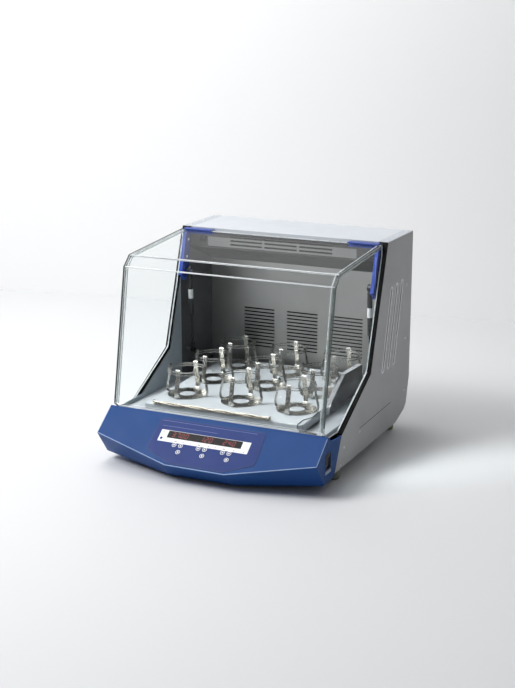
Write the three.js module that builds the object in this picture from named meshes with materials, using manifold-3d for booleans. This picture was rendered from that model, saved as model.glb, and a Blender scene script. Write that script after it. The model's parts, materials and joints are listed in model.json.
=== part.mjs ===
// Benchtop incubating orbital shaker, in millimetres.
// +Z is up, the front faces -Y, and the origin is on the resting surface under the middle of the body.
import * as THREE from 'three';
import { ConvexGeometry } from 'three/addons/geometries/ConvexGeometry.js';
import { mergeVertices } from 'three/addons/utils/BufferGeometryUtils.js';
import Module from 'manifold-3d';

const wasm = await Module();
wasm.setup();

// ---------- driving dimensions ----------
const WIDTH = 580;
const HEIGHT = 520;
const FRONT_Y = -345;
const REAR_Y = 335;
const GAP = 0.3;                 // clearance between touching pieces
const SHEET = 2;                 // folded sheet metal

// Housing. The opening edge runs from the roof, through a bend, down to the console.
const PANEL_X = 288;             // outer face of the side panels
const ROOF_FRONT_Y = 148;
const OPENING = [[ROOF_FRONT_Y, HEIGHT], [45, 210], [-143, 108]];
const BASE_Z = 27;
const BASE_FRONT_Y = -186;
const BASE_REAR = [[235, BASE_Z], [300, 47], [315, 60]];
const REAR_FOLD_Z = 131;         // the rear panel leans in below this height
const ROOF_FLANGE = 25;
const COVER_LIP = 14;
const JAMB_X = 274.5;            // inner end of the fold along the opening
const VENT_WIDTH = 12;
const VENTS = [[[130, 197], [181, 394]], [[169, 198], [220, 396]], [[208, 199], [259, 398]]];
const REAR_VENT = { rows: 6, half: 70, z: 410, pitch: 12, height: 5 };
const INLET = { x: -205, z: 165, half_width: 24, half_height: 15, depth: 23 };
const INLET_SOCKET = { half_width: 13, half_height: 9, depth: 18 };

// Chamber
const CHAMBER_X = 272;           // inner face of the side walls
const CHAMBER_REAR_Y = 283;
const CHAMBER_FRONT_Y = -217;
const CHAMBER_SHEET = 2;
const FLOOR_Z = 117;
const FLOOR_SHEET = 3;
const SHAFT_HOLE = 24;           // radii of the holes that the cranks stand in
const GUIDE_HOLE = 21;
const SILL_Z = 131;
const GRILLE_COLUMNS = [-127, 0, 127];
const GRILLE_SLOT = 90;
const GRILLE_SLOT_HEIGHT = 4;
const GRILLE_ROWS = 12;
const GRILLE_PITCH = 9.5;
const GRILLE_TOP_Z = 281;
const GRILLE_PANEL_TOP = 500;
const DUCT_FRONT_Y = 153;
const DUCT_Z = { top: 505, fold: 465, rear: 411 };
const DUCT_SLOTS = [-104, -6, 92];
const DUCT_SLOT = 92;
const DUCT_SLOT_HEIGHT = 4.5;
const DUCT_SLOT_Z = [477, 487, 496.5];
const GASKET_TOP = 498;
const SENSOR_PORT = { x: -228, z: 487, radius: 8 };
const CUT = 12;                  // how far a cutting tool reaches either way past a sheet

// Console: a slope that runs down from the chamber sill to a folded crease
const CONSOLE_X = WIDTH / 2;
const CONSOLE_TOP = [-230, 131];
const SLOPE = THREE.MathUtils.degToRad(37.2);
const onSlopeAt = (y) => [y, CONSOLE_TOP[1] - (CONSOLE_TOP[0] - y) * Math.tan(SLOPE)];
const CREASE_END = onSlopeAt(-298);
const CREASE_MIDDLE = onSlopeAt(FRONT_Y);
const CREASE_MIDDLE_X = 78;
const BOTTOM_MIDDLE = [-308, 7];
const BOTTOM_MIDDLE_X = 87;
const BOTTOM_END = [-254, 20];
const BOTTOM_REAR = [-191, 23];
const SIDE_REAR = [-148, 109.5];
const CONSOLE_WALL = 3;

// Control panel, in slope coordinates: x, and the distance down from the top of the slope
const PANEL_CENTRE_X = -3.5;
const PANEL_OUTLINE = [[-138, 16], [138, 16], [142, 106], [72, 138], [-72, 138], [-142, 106]];
const DISPLAY = { x0: -104, x1: 92, s0: 48.5, s1: 68.5 };
const KEY_RADIUS = 6;
const KEY_PROUD = 1.2;
const KEY_DEPTH = 2.4;
const KEY_GAP = 0.5;
const KEY_GROUPS = ['temperature', 'speed', 'timer'];
const KEY_GROUP_PITCH = 64;
const KEY_PLACES = { down: [-8.5, 86], up: [8.5, 86], set: [8.5, 104] };

// Power rocker in the right side of the console
const ROCKER = { y: -229, z: 71.5, length: 30, width: 24, depth: 9, face_x: 287.4 };
const ROCKER_TILT = THREE.MathUtils.degToRad(5);

// Hood of clear sheet and its hinge
const HOOD_X = 280;
const HOOD_SHEET = 4;
const HOOD_GAP = 7;              // from the opening edge to the edge of the hood
const HOOD_TOP_REAR = [130, 516];
const HOOD_REAR_LOW_Z = 488;
const HOOD_BENDS = [[-145, 495], [-172, 470], [-233, 137]];
const HOOD_FOOT = [[-228, 135], [-208, 119], [-149, 116.5]];
const HINGE = [139, 509];
const ARM_X = 262;
const ARM_END_X = 190;
const HINGE_PIN = 4;             // radius

// Gas struts, between a stud on the hood bracket and a stud on the chamber wall
const STRUT_X = 252;
const STRUT_TOP = [118, 408];
const STRUT_ANCHOR = [132, 190];
const STRUT_RADIUS = 6.5;
const STRUT_LENGTH = 124;        // from the upper stud to the end of the cylinder
const ROD_RADIUS = 3;
const EYE_LENGTH = 10;

// Platform and its drive
const PLATFORM = { x: 212, front: -203, rear: 255, top: 140, sheet: 3, skirt: 18 };
const GUARD = [[-40, 124], [178, 124], [178, 192], [57, 197], [-30, 146], [-40, 134]];
const GUARD_SHEET = 1.5;
const GUARD_LIP = 11;
const BAR = { y: -204, z: 145.5, radius: 4.5, x0: -186, x1: 131 };
const CARRIER = { x: 148, y0: -20, y1: 112, z0: 122 };
const ORBIT_RADIUS = 10;
const SHAFT = [0, 36];
const GUIDES = { left: [-120, 96], right: [120, 96] };
const CLAMP_PITCH_X = 150;
const CLAMP_PITCH_Y = 145;
const CLAMP_CENTRE_Y = 52;
const CLAMP_BASE_RADIUS = 50;
const CLAMP_STRIP = [[44, 0.75], [54, 0.75], [56, 12], [44.4, 70]];
const CLAMP_STRIP_WIDTH = 12;
const CLAMP_RING = { radius: 45, z: 66, wire: 1.6 };
const FRAME = { x0: -160, x1: 190, y0: -130, y1: 140, sheet: 10, leg: 9, inset: 15 };
const FRAME_Z = 62;
const PULLEY_Z = [46, 58];
const DRIVE_PULLEY_RADIUS = 52;
const MOTOR_PULLEY_RADIUS = 13;
const MOTOR = [130, -84];
const MOTOR_TOP = 112;
const MOTOR_RADIUS = 35;
const SHAFT_RADIUS = 10;
const COUNTERWEIGHT_RADIUS = 46;
const CRANK_PIN = 8;             // radii
const GUIDE_PIN = 6;
const BEARING_GAP = 0.4;
const WEB_Z = 97;
const PIN_TOP = 133;

// Fan and heater behind the grille, feet under the base
const FAN = { x: 0, z: 228, radius: 62, rear: 323, blades: 12, blade_length: 16, blade_height: 25 };
const HEATER = { half: 150, y0: 300, z0: 345, core: 12, fin: 8, fin_pitch: 20 };
const FOOT_RADIUS = 16;
const FOOT_PLACES = { front: [270, -146], rear: [258, 260] };

// ---------- finishes ----------
const FINISHES = {
  panel_paint: [0x8b8c8d, 0.55, 0.1],
  cover_paint: [0xdde1e6, 0.5, 0.1],
  console_paint: [0x35538a, 0.45, 0.0],
  bracket_blue: [0x3f4fa6, 0.4, 0.0],
  chamber_steel: [0x85847f, 0.4, 0.6],
  tray_paint: [0xc8ccd4, 0.45, 0.2],
  polished_steel: [0xc4c4c2, 0.2, 1.0],
  machined_steel: [0x8d9095, 0.35, 1.0],
  black_rubber: [0x151515, 0.85, 0.0],
  black_plastic: [0x1c1c1e, 0.5, 0.0],
  clear_sheet: [0xe4eef2, 0.05, 0.0],
  panel_film: [0x42549c, 0.4, 0.0],
  key_film: [0x3c4f9a, 0.5, 0.0],
  aluminium: [0xa9acb0, 0.45, 1.0],
};

const shaker = new THREE.Group();

function add(name, shape, finish) {
  const [color, roughness, metalness] = FINISHES[finish];
  const geometry = shape.isBufferGeometry ? shape : fromSolid(shape);
  geometry.computeVertexNormals();
  const mesh = new THREE.Mesh(geometry, new THREE.MeshStandardMaterial({ color, roughness, metalness }));
  mesh.name = name;
  shaker.add(mesh);
}

// ---------- solids ----------
function solid(geometry) {
  const bare = geometry.clone();
  bare.deleteAttribute('normal');
  bare.deleteAttribute('uv');
  const merged = mergeVertices(bare, 1e-4);
  return new wasm.Manifold(new wasm.Mesh({
    numProp: 3,
    vertProperties: new Float32Array(merged.attributes.position.array),
    triVerts: new Uint32Array(merged.index.array),
  }));
}

function fromSolid(result) {
  const mesh = result.getMesh();
  const geometry = new THREE.BufferGeometry();
  geometry.setAttribute('position', new THREE.BufferAttribute(mesh.vertProperties, 3));
  geometry.setIndex(new THREE.BufferAttribute(mesh.triVerts, 1));
  return geometry;
}

function union(parts) {
  return parts.slice(1).reduce((sum, part) => sum.add(part), parts[0]);
}

function box(x0, x1, y0, y1, z0, z1) {
  const geometry = new THREE.BoxGeometry(x1 - x0, y1 - y0, z1 - z0);
  return solid(geometry.translate((x0 + x1) / 2, (y0 + y1) / 2, (z0 + z1) / 2));
}

function outline(points) {
  return new THREE.Shape(points.map(([a, b]) => new THREE.Vector2(a, b)));
}

function extruded(shape, depth, curveSegments = 6) {
  return new THREE.ExtrudeGeometry(shape, { depth, bevelEnabled: false, curveSegments });
}

// A (y, z) outline, carried along x
const alongX = new THREE.Matrix4().makeBasis(
  new THREE.Vector3(0, 1, 0), new THREE.Vector3(0, 0, 1), new THREE.Vector3(1, 0, 0));

function prismX(shape, x0, x1) {
  return solid(extruded(shape, x1 - x0).applyMatrix4(alongX).translate(x0, 0, 0));
}

// An (x, z) outline, carried along y
function prismY(shape, y0, y1) {
  return solid(extruded(shape, y1 - y0).rotateX(Math.PI / 2).translate(0, y1, 0));
}

// An (x, y) outline, carried along z
function prismZ(shape, z0, z1) {
  return solid(extruded(shape, z1 - z0).translate(0, 0, z0));
}

function cylinderX(y, z, radius, x0, x1, segments = 16) {
  const geometry = new THREE.CylinderGeometry(radius, radius, x1 - x0, segments).rotateZ(Math.PI / 2);
  return solid(geometry.translate((x0 + x1) / 2, y, z));
}

function cylinderZ(x, y, radius, z0, z1, segments = 20) {
  const geometry = new THREE.CylinderGeometry(radius, radius, z1 - z0, segments).rotateX(Math.PI / 2);
  return solid(geometry.translate(x, y, (z0 + z1) / 2));
}

// A (radius, z) profile turned about the z axis
function turned(profile, segments = 24) {
  const points = profile.map(([r, z]) => new THREE.Vector2(r, z));
  return new THREE.LatheGeometry(points, segments).rotateX(Math.PI / 2);
}

function stadium([ax, ay], [bx, by], radius) {
  const along = Math.atan2(by - ay, bx - ax);
  const shape = new THREE.Shape();
  shape.absarc(bx, by, radius, along - Math.PI / 2, along + Math.PI / 2);
  shape.absarc(ax, ay, radius, along + Math.PI / 2, along + Math.PI * 1.5);
  shape.closePath();
  return shape;
}

function circle(x, y, radius) {
  const shape = new THREE.Shape();
  shape.absarc(x, y, radius, 0, Math.PI * 2);
  return shape;
}

// A polyline moved sideways by a distance, to the left of its direction
function offset(points, distance) {
  const normals = points.slice(1).map(([x, y], i) => {
    const [px, py] = points[i];
    const length = Math.hypot(x - px, y - py);
    return [-(y - py) / length, (x - px) / length];
  });
  return points.map(([x, y], i) => {
    const a = normals[Math.max(i - 1, 0)];
    const b = normals[Math.min(i, normals.length - 1)];
    const scale = distance / (1 + a[0] * b[0] + a[1] * b[1]);
    return [x + (a[0] + b[0]) * scale, y + (a[1] + b[1]) * scale];
  });
}

// The outline of a strip between two offsets of one polyline
function strip(points, from, to) {
  return outline([...offset(points, from), ...offset(points, to).reverse()]);
}

function mirrored(side, build) {
  const result = build();
  return side > 0 ? result : result.mirror([1, 0, 0]);
}

// A point at height z on a polyline of (y, z) points
function atHeight(points, z) {
  const i = points.findIndex((p, k) => k > 0 && (p[1] - z) * (points[k - 1][1] - z) <= 0);
  const [[y0, z0], [y1, z1]] = [points[i - 1], points[i]];
  return [y0 + ((y1 - y0) * (z - z0)) / (z1 - z0), z];
}

// ---------- housing ----------
function sidePanel() {
  const profile = outline([...OPENING, [BASE_FRONT_Y, BASE_Z], ...BASE_REAR, [REAR_Y, REAR_FOLD_Z],
    [REAR_Y, HEIGHT]]);
  const plate = prismX(profile, PANEL_X - SHEET, PANEL_X);
  const roofFlange = box(PANEL_X - ROOF_FLANGE, PANEL_X, ROOF_FRONT_Y, REAR_Y, HEIGHT - SHEET, HEIGHT);
  const jambFold = prismX(strip(OPENING, 0, SHEET), JAMB_X, PANEL_X);
  const vents = VENTS.map(
    ([low, high]) => prismX(stadium(low, high, VENT_WIDTH / 2), PANEL_X - CUT, PANEL_X + CUT));
  return union([plate, roofFlange, jambFold]).subtract(union(vents));
}

function topCover() {
  const half = PANEL_X - ROOF_FLANGE - GAP;
  const front = ROOF_FRONT_Y + 2;
  const plate = box(-half, half, front, REAR_Y, HEIGHT - SHEET, HEIGHT);
  return plate.add(box(-half, half, front, front + SHEET, HEIGHT - COVER_LIP, HEIGHT - 1));
}

function basePlate() {
  const [bend, end] = BASE_REAR;
  const nearEnd = [end[0] - SHEET, end[1] - SHEET * 0.3];
  const half = PANEL_X - SHEET - GAP;
  return prismX(strip([[BASE_FRONT_Y, BASE_Z], bend, nearEnd], 0, SHEET), -half, half);
}

function rearPanel() {
  const [, low, bend] = BASE_REAR;
  const end = [low[0] + GAP * 1.5, low[1] + GAP * 1.5];
  const spine = [[REAR_Y, HEIGHT - SHEET - GAP], [REAR_Y, REAR_FOLD_Z], bend, end];
  const half = PANEL_X - SHEET - GAP;
  const sheet = prismX(strip(spine, 0, -SHEET), -half, half);
  const cuts = [inletBox(INLET, GAP, REAR_Y - CUT, REAR_Y + CUT)];
  for (let row = 0; row < REAR_VENT.rows; row += 1) {
    const z = REAR_VENT.z + row * REAR_VENT.pitch;
    cuts.push(box(-REAR_VENT.half, REAR_VENT.half, REAR_Y - CUT, REAR_Y + CUT, z, z + REAR_VENT.height));
  }
  return sheet.subtract(union(cuts));
}

// A box round the middle of the mains inlet
function inletBox({ half_width, half_height }, grow, y0, y1) {
  const { x, z } = INLET;
  const dx = half_width + grow;
  const dz = half_height + grow;
  return box(x - dx, x + dx, y0, y1, z - dz, z + dz);
}

function powerInlet() {
  const body = inletBox(INLET, 0, REAR_Y - INLET.depth, REAR_Y);
  return body.subtract(inletBox(INLET_SOCKET, 0, REAR_Y - INLET_SOCKET.depth, REAR_Y + CUT));
}

function foot(x, y) {
  const r = FOOT_RADIUS;
  const top = BASE_Z - GAP;
  const profile = [[0, 0], [r - 3, 0], [r - 1, 2], [r, 8], [r - 2, top], [0, top]];
  return turned(profile, 24).translate(x, y, 0);
}

// ---------- chamber ----------
function chamberFloor() {
  const half = CHAMBER_X - GAP;
  const rear = CHAMBER_REAR_Y - GAP;
  const front = CHAMBER_FRONT_Y - CHAMBER_SHEET;
  const floor = box(-half, half, front, rear, FLOOR_Z - FLOOR_SHEET, FLOOR_Z);
  const riser = box(-half, half, front, CHAMBER_FRONT_Y, FLOOR_Z - 1, SILL_Z);
  const sill = box(-half, half, CONSOLE_TOP[0] + 1, CHAMBER_FRONT_Y - 1, SILL_Z - FLOOR_SHEET, SILL_Z);
  const holes = [
    cylinderZ(SHAFT[0], SHAFT[1], SHAFT_HOLE, FLOOR_Z - CUT, FLOOR_Z + CUT),
    ...Object.values(GUIDES).map(([x, y]) => cylinderZ(x, y, GUIDE_HOLE, FLOOR_Z - CUT, FLOOR_Z + CUT)),
  ];
  return union([floor, riser, sill]).subtract(union(holes));
}

function chamberWall() {
  const edge = offset(OPENING, SHEET + 1);
  const wallTop = HEIGHT - SHEET * 2;
  const sillUnder = SILL_Z - FLOOR_SHEET;
  const floorUnder = FLOOR_Z - FLOOR_SHEET;
  const rear = CHAMBER_REAR_Y + CHAMBER_SHEET;
  const top = atHeight(edge, wallTop);
  const profile = outline([top, edge[1], atHeight(edge, sillUnder), [CHAMBER_FRONT_Y, sillUnder],
    [CHAMBER_FRONT_Y, floorUnder], [rear, floorUnder], [rear, wallTop]]);
  const outer = CHAMBER_X + CHAMBER_SHEET;
  const plate = prismX(profile, CHAMBER_X, outer);
  const [hingeY, hingeZ] = HINGE;
  const ear = cylinderX(hingeY, hingeZ, HINGE_PIN * 2, CHAMBER_X, outer)
    .add(box(CHAMBER_X, outer, hingeY, top[0], hingeZ - HINGE_PIN * 1.5, hingeZ + HINGE_PIN * 1.5));
  const hingeHole = cylinderX(hingeY, hingeZ, HINGE_PIN + 0.5, CHAMBER_X - CUT, CHAMBER_X + CUT);
  const stud = cylinderX(...STRUT_ANCHOR, 5, STRUT_X + EYE_LENGTH / 2 + 0.5, CHAMBER_X + 1);
  return union([plate, ear, stud]).subtract(hingeHole);
}

// A slot through an upright sheet at a given y
function sheetSlot(x, z, width, height, y) {
  return box(x - width / 2, x + width / 2, y - CUT, y + CUT, z - height / 2, z + height / 2);
}

function airGrille() {
  const half = CHAMBER_X - GAP;
  const rear = CHAMBER_REAR_Y + CHAMBER_SHEET;
  const panel = box(-half, half, CHAMBER_REAR_Y, rear, FLOOR_Z - FLOOR_SHEET, GRILLE_PANEL_TOP);
  const slots = [];
  for (const x of GRILLE_COLUMNS) {
    for (let row = 0; row < GRILLE_ROWS; row += 1) {
      const z = GRILLE_TOP_Z - row * GRILLE_PITCH;
      slots.push(sheetSlot(x, z, GRILLE_SLOT, GRILLE_SLOT_HEIGHT, CHAMBER_REAR_Y));
    }
  }
  return panel.subtract(union(slots));
}

function upperDuct() {
  const half = CHAMBER_X - GAP;
  const { top, fold, rear } = DUCT_Z;
  const spine = [[DUCT_FRONT_Y, top], [DUCT_FRONT_Y, fold], [CHAMBER_REAR_Y - 1.5, rear]];
  const sheet = prismX(strip(spine, 0, SHEET), -half, half);
  const slots = DUCT_SLOTS.flatMap((x) => DUCT_SLOT_Z.map(
    (z) => sheetSlot(x, z, DUCT_SLOT, DUCT_SLOT_HEIGHT, DUCT_FRONT_Y)));
  const { x, z, radius } = SENSOR_PORT;
  const port = prismY(circle(x, z, radius), DUCT_FRONT_Y - CUT, DUCT_FRONT_Y + CUT);
  return sheet.subtract(union([...slots, port]));
}

function gasket() {
  const [, bend, low] = OPENING;
  const path = [atHeight(OPENING, GASKET_TOP), bend, low];
  return prismX(strip(path, -GAP, -HOOD_GAP + 1), JAMB_X + 1, PANEL_X - 1);
}

// ---------- console ----------
// The console's outside, drawn in by an inset for the hollow behind its wall
function consoleBody(inset) {
  const corners = (x, [y, z]) => [-1, 1].map((side) => new THREE.Vector3(side * x, y, z));
  const moved = ([y, z], dy, dz) => [y + dy, z + dz];
  const end = CONSOLE_X - inset;
  const back = inset ? 60 : 0;   // the hollow runs out through the back
  return solid(new ConvexGeometry([
    ...corners(end, [CONSOLE_TOP[0] + inset * 0.2, CONSOLE_TOP[1] - inset * 1.3]),
    ...corners(end, [CREASE_END[0] + inset * 1.5, CREASE_END[1] - inset * 0.3]),
    ...corners(end, [BOTTOM_END[0] + inset * 0.7, BOTTOM_END[1] + inset]),
    ...corners(CREASE_MIDDLE_X - inset * 0.5, moved(CREASE_MIDDLE, inset * 1.6, inset * 0.1)),
    ...corners(BOTTOM_MIDDLE_X - inset * 0.5, moved(BOTTOM_MIDDLE, inset * 0.8, inset)),
    ...corners(end, [BOTTOM_REAR[0] + back, BOTTOM_REAR[1] + inset]),
    ...corners(end, [SIDE_REAR[0] + back, SIDE_REAR[1] - inset]),
  ]));
}

// Moves a piece drawn on the slope (x, minus the distance down, height above it) to its place
const slopeFrame = new THREE.Matrix4().makeRotationX(SLOPE).setPosition(0, CONSOLE_TOP[0], CONSOLE_TOP[1]);

function onSlope(geometry) {
  return solid(geometry.applyMatrix4(slopeFrame));
}

function slopePrism(shape, from, to) {
  return onSlope(extruded(shape, to - from).translate(0, 0, from));
}

function slopeRectangle({ x0, x1, s0, s1 }, grow = 0) {
  const [left, right, low, high] = [x0 - grow, x1 + grow, -s1 - grow, -s0 + grow];
  return outline([[left, low], [right, low], [right, high], [left, high]]);
}

const keys = KEY_GROUPS.flatMap((group, i) => Object.entries(KEY_PLACES).map(([action, [dx, down]]) => ({
  name: `key_${group}_${action}`,
  x: PANEL_CENTRE_X + (i - 1) * KEY_GROUP_PITCH + dx,
  down,
})));

function keyHoles(from, to) {
  return keys.map(({ x, down }) => slopePrism(circle(x, -down, KEY_RADIUS + KEY_GAP), from, to));
}

function keyCap({ x, down }) {
  const r = KEY_RADIUS;
  const top = KEY_PROUD;
  const profile = [[0, -KEY_DEPTH], [r, -KEY_DEPTH], [r, top - 0.5], [r - 0.6, top], [0, top]];
  return turned(profile, 12).translate(x, -down, 0).applyMatrix4(slopeFrame);
}

function rockerPlace(geometry) {
  const place = new THREE.Matrix4().makeBasis(
    new THREE.Vector3(0, 1, 0),
    new THREE.Vector3(0, 0, 1),
    new THREE.Vector3(1, 0, 0)).setPosition(ROCKER.face_x, ROCKER.y, ROCKER.z);
  return geometry.applyMatrix4(place);
}

function rockerHole() {
  const { width, length, depth } = ROCKER;
  return solid(rockerPlace(new THREE.BoxGeometry(width + 1.6, length + 3, depth + 5)));
}

function powerRocker() {
  const half = ROCKER.length / 2;
  const profile = outline([[-half, -ROCKER.depth], [half, -ROCKER.depth], [half, 1], [0, -0.6], [-half, 1]]);
  const geometry = extruded(profile, ROCKER.width).translate(0, 0, -ROCKER.width / 2);
  return solid(rockerPlace(geometry.applyMatrix4(alongX).rotateX(ROCKER_TILT)));
}

function consoleHousing() {
  const wall = CONSOLE_WALL;
  const shell = consoleBody(0).subtract(consoleBody(wall));
  const [topY, topZ] = CONSOLE_TOP;
  const above = topZ + 20;
  const hoodSeat = [[topY, topZ], [-211, 115], [-140, 109], [-140, above], [topY, above]];
  const notch = prismX(outline(hoodSeat), -CONSOLE_X - CUT, CONSOLE_X + CUT);
  const middle = box(-JAMB_X, JAMB_X, topY + 0.7, -100, 90, above);
  return shell.subtract(union([notch, middle, rockerHole(), ...keyHoles(-8, 4)]));
}

function controlPanel() {
  const film = slopePrism(outline(PANEL_OUTLINE.map(([x, down]) => [x, -down])), GAP, 1);
  return film.subtract(union([slopePrism(slopeRectangle(DISPLAY, 0.4), -3, 4), ...keyHoles(-3, 4)]));
}

// ---------- hood ----------
function hoodShell() {
  const edge = offset(OPENING, -HOOD_GAP);
  const rearLow = atHeight(edge, HOOD_REAR_LOW_Z);
  const profile = outline([HOOD_TOP_REAR, ...HOOD_BENDS, ...HOOD_FOOT, edge[1], rearLow]);
  const outer = prismX(profile, -HOOD_X, HOOD_X);
  const [[rearY, rearZ], [bendY, bendZ]] = [HOOD_TOP_REAR, HOOD_BENDS[0]];
  const behind = [2 * rearY - bendY, 2 * rearZ - bendZ];
  const inner = offset([behind, ...HOOD_BENDS], HOOD_SHEET);
  const inside = outline([...inner, [inner[3][0] - 8, 90], [behind[0], 90]]);
  return outer.subtract(prismX(inside, -HOOD_X + HOOD_SHEET, HOOD_X - HOOD_SHEET));
}

function hoodBracket() {
  const [y, z] = HINGE;
  const lip = [[y, z + 9.5], [y - 20, z + 9], [y - 20, z + 6.8], [y - 8.6, z + 7.5]];   // laps the sheet
  const head = outline([[y - 8.6, z - 6], [y + 6, z - 6], [y + 6, z + 6], ...lip]);
  const crossArm = prismX(head, ARM_END_X, CHAMBER_X - 0.5);
  const sideShape = [[y + 6, z], [y - 6, 403], [112, 382], [92, 400], [121, z - 8], [y - 8.6, z]];
  const sideArm = prismX(outline(sideShape), ARM_X, CHAMBER_X - 0.5);
  const pin = cylinderX(y, z, HINGE_PIN, CHAMBER_X - 4, CHAMBER_X + 4);
  const stud = cylinderX(STRUT_TOP[0], STRUT_TOP[1], 4.5, STRUT_X - 5, ARM_X + 2, 20);
  return union([crossArm, sideArm, pin, stud]);
}

// Strut pieces are drawn hanging down from the origin, then turned from one stud to the other
const strutSpan = Math.hypot(STRUT_ANCHOR[0] - STRUT_TOP[0], STRUT_ANCHOR[1] - STRUT_TOP[1]);
const strutLean = Math.atan2(STRUT_ANCHOR[0] - STRUT_TOP[0], STRUT_TOP[1] - STRUT_ANCHOR[1]);

function hangStrut(piece) {
  return piece.rotate([THREE.MathUtils.radToDeg(strutLean), 0, 0]).translate([STRUT_X, ...STRUT_TOP]);
}

function strutCylinder() {
  const bore = ROD_RADIUS + 0.6;
  const tube = solid(turned([[0, -20], [bore, -20], [bore, -STRUT_LENGTH], [STRUT_RADIUS, -STRUT_LENGTH],
    [STRUT_RADIUS, -12], [0, -12]], 16));
  const half = EYE_LENGTH / 2;
  const eye = cylinderX(0, 0, 9, -half, half).add(box(-half, half, -half, half, -14, -4));
  return hangStrut(eye.add(tube).subtract(cylinderX(0, 0, 5, -CUT, CUT, 20)));
}

function strutRod() {
  const low = 2 - strutSpan;
  const rod = solid(turned([[0, low], [ROD_RADIUS, low], [ROD_RADIUS, -24], [0, -24]], 16));
  return hangStrut(rod.add(cylinderX(0, -strutSpan, 7.5, -EYE_LENGTH / 2, EYE_LENGTH / 2, 20)));
}

// ---------- platform ----------
function platformTray() {
  const { x, front, rear, top, sheet, skirt } = PLATFORM;
  const wall = sheet - 1;
  const tray = box(-x, x, front, rear, top - skirt, top);
  return tray.subtract(box(-x + wall, x - wall, front + wall, rear - wall, top - skirt - CUT, top - sheet));
}

function sideGuard() {
  const inner = PLATFORM.x + GAP;
  const plate = prismX(outline(GUARD), inner, inner + GUARD_SHEET);
  const [, , rear, bend, front] = GUARD;
  const lip = prismX(strip([front, bend, rear], 0, -GUARD_SHEET), inner - GUARD_LIP, inner + GUARD_SHEET / 2);
  return plate.add(lip);
}

function retainingBar() {
  const { y, z, radius, x0, x1 } = BAR;
  const bar = cylinderX(y, z, radius, x0, x1);
  const lugs = [x0 + radius, x1 - radius * 2].map(
    (x) => box(x, x + radius, y, y + radius * 3, PLATFORM.top + GAP, z));
  return union([bar, ...lugs]);
}

// Steel flask clamp: a base disc, four leaning strips and the ring that ties them
function flaskClamp(x, y) {
  const base = PLATFORM.top + GAP;
  const r = CLAMP_BASE_RADIUS;
  const disc = solid(turned([[0, 0], [r, 0], [r, 1.5], [0, 1.5]], 16));
  const half = CLAMP_STRIP_WIDTH / 2;
  const finger = prismX(strip(CLAMP_STRIP, -0.75, 0.75), -half, half);
  const fingers = [0, 90, 180, 270].map((turn) => finger.rotate([0, 0, turn]));
  const { radius, z, wire } = CLAMP_RING;
  const corners = [[-wire, -wire], [wire, -wire], [wire, wire], [-wire, wire], [-wire, -wire]];
  const ring = solid(turned(corners.map(([dr, dz]) => [radius + dr, z + dz]), 16));
  return union([disc, ...fingers, ring]).translate([x, y, base]);
}

function platformCarrier() {
  const { x, y0, y1, z0 } = CARRIER;
  const high = PLATFORM.top - PLATFORM.sheet - GAP;
  const bore = ([px, py], pin) => cylinderZ(px, py - ORBIT_RADIUS, pin + BEARING_GAP, z0 - CUT, high - 2);
  const bores = [bore(SHAFT, CRANK_PIN), ...Object.values(GUIDES).map((place) => bore(place, GUIDE_PIN))];
  return box(-x, x, y0, y1, z0, high).subtract(union(bores));
}

// ---------- drive ----------
function crankShaft() {
  const [x, y] = SHAFT;
  const webTop = WEB_Z + 10;
  const shaft = cylinderZ(x, y, SHAFT_RADIUS, PULLEY_Z[0] - 4, WEB_Z + 1);
  const web = prismZ(stadium([x, y], [x, y - ORBIT_RADIUS], SHAFT_RADIUS + 4), WEB_Z, webTop);
  const weight = new THREE.Shape();
  weight.absarc(x, y, COUNTERWEIGHT_RADIUS, 0, Math.PI);
  weight.closePath();
  const pin = cylinderZ(x, y - ORBIT_RADIUS, CRANK_PIN, webTop - 1, PIN_TOP);
  return union([shaft, web, prismZ(weight, WEB_Z, webTop), pin]);
}

function guideCrank([x, y]) {
  const low = WEB_Z + 1;
  const high = low + 10;
  const web = prismZ(stadium([x, y], [x, y - ORBIT_RADIUS], GUIDE_PIN + 5), low, high);
  const lowerPin = cylinderZ(x, y, GUIDE_PIN, FRAME_Z + FRAME.sheet + 8, low + 1);
  return union([web, lowerPin, cylinderZ(x, y - ORBIT_RADIUS, GUIDE_PIN, high - 1, PIN_TOP)]);
}

function driveFrame() {
  const { x0, x1, y0, y1, sheet, leg, inset } = FRAME;
  const plate = box(x0, x1, y0, y1, FRAME_Z, FRAME_Z + sheet);
  const legs = [x0 + inset, x1 - inset].flatMap((x) => [y0 + inset, y1 - inset].map(
    (y) => cylinderZ(x, y, leg, BASE_Z + SHEET + GAP, FRAME_Z + 1, 16)));
  const tower = ([x, y], radius, top) => cylinderZ(x, y, radius, FRAME_Z + sheet - 1, top);
  const bore = ([x, y], radius) => cylinderZ(x, y, radius + BEARING_GAP, FRAME_Z - CUT, WEB_Z + CUT);
  const guides = Object.values(GUIDES);
  const towers = [tower(SHAFT, 22, WEB_Z - 0.5), ...guides.map((place) => tower(place, 15, WEB_Z + 0.5))];
  const bores = [bore(SHAFT, SHAFT_RADIUS), bore(MOTOR, 8), ...guides.map((place) => bore(place, GUIDE_PIN))];
  return union([plate, ...legs, ...towers]).subtract(union(bores));
}

function pulleyProfile(radius, bore) {
  const [low, high] = PULLEY_Z;
  const rim = radius + 3;
  return [[bore, low], [rim, low], [rim, low + 1.5], [radius, low + 2], [radius, high - 2], [rim, high - 1.5],
    [rim, high], [bore, high]];
}

function drivePulley() {
  const profile = pulleyProfile(DRIVE_PULLEY_RADIUS, SHAFT_RADIUS + BEARING_GAP);
  return turned([...profile, profile[0]], 32).translate(SHAFT[0], SHAFT[1], 0);
}

function motorPulley() {
  const [low, high] = PULLEY_Z;
  const wheel = solid(turned([[0, low], ...pulleyProfile(MOTOR_PULLEY_RADIUS, 4), [0, high]], 24));
  return wheel.add(cylinderZ(0, 0, 4, high - 1, 82, 12)).translate([...MOTOR, 0]);
}

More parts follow.
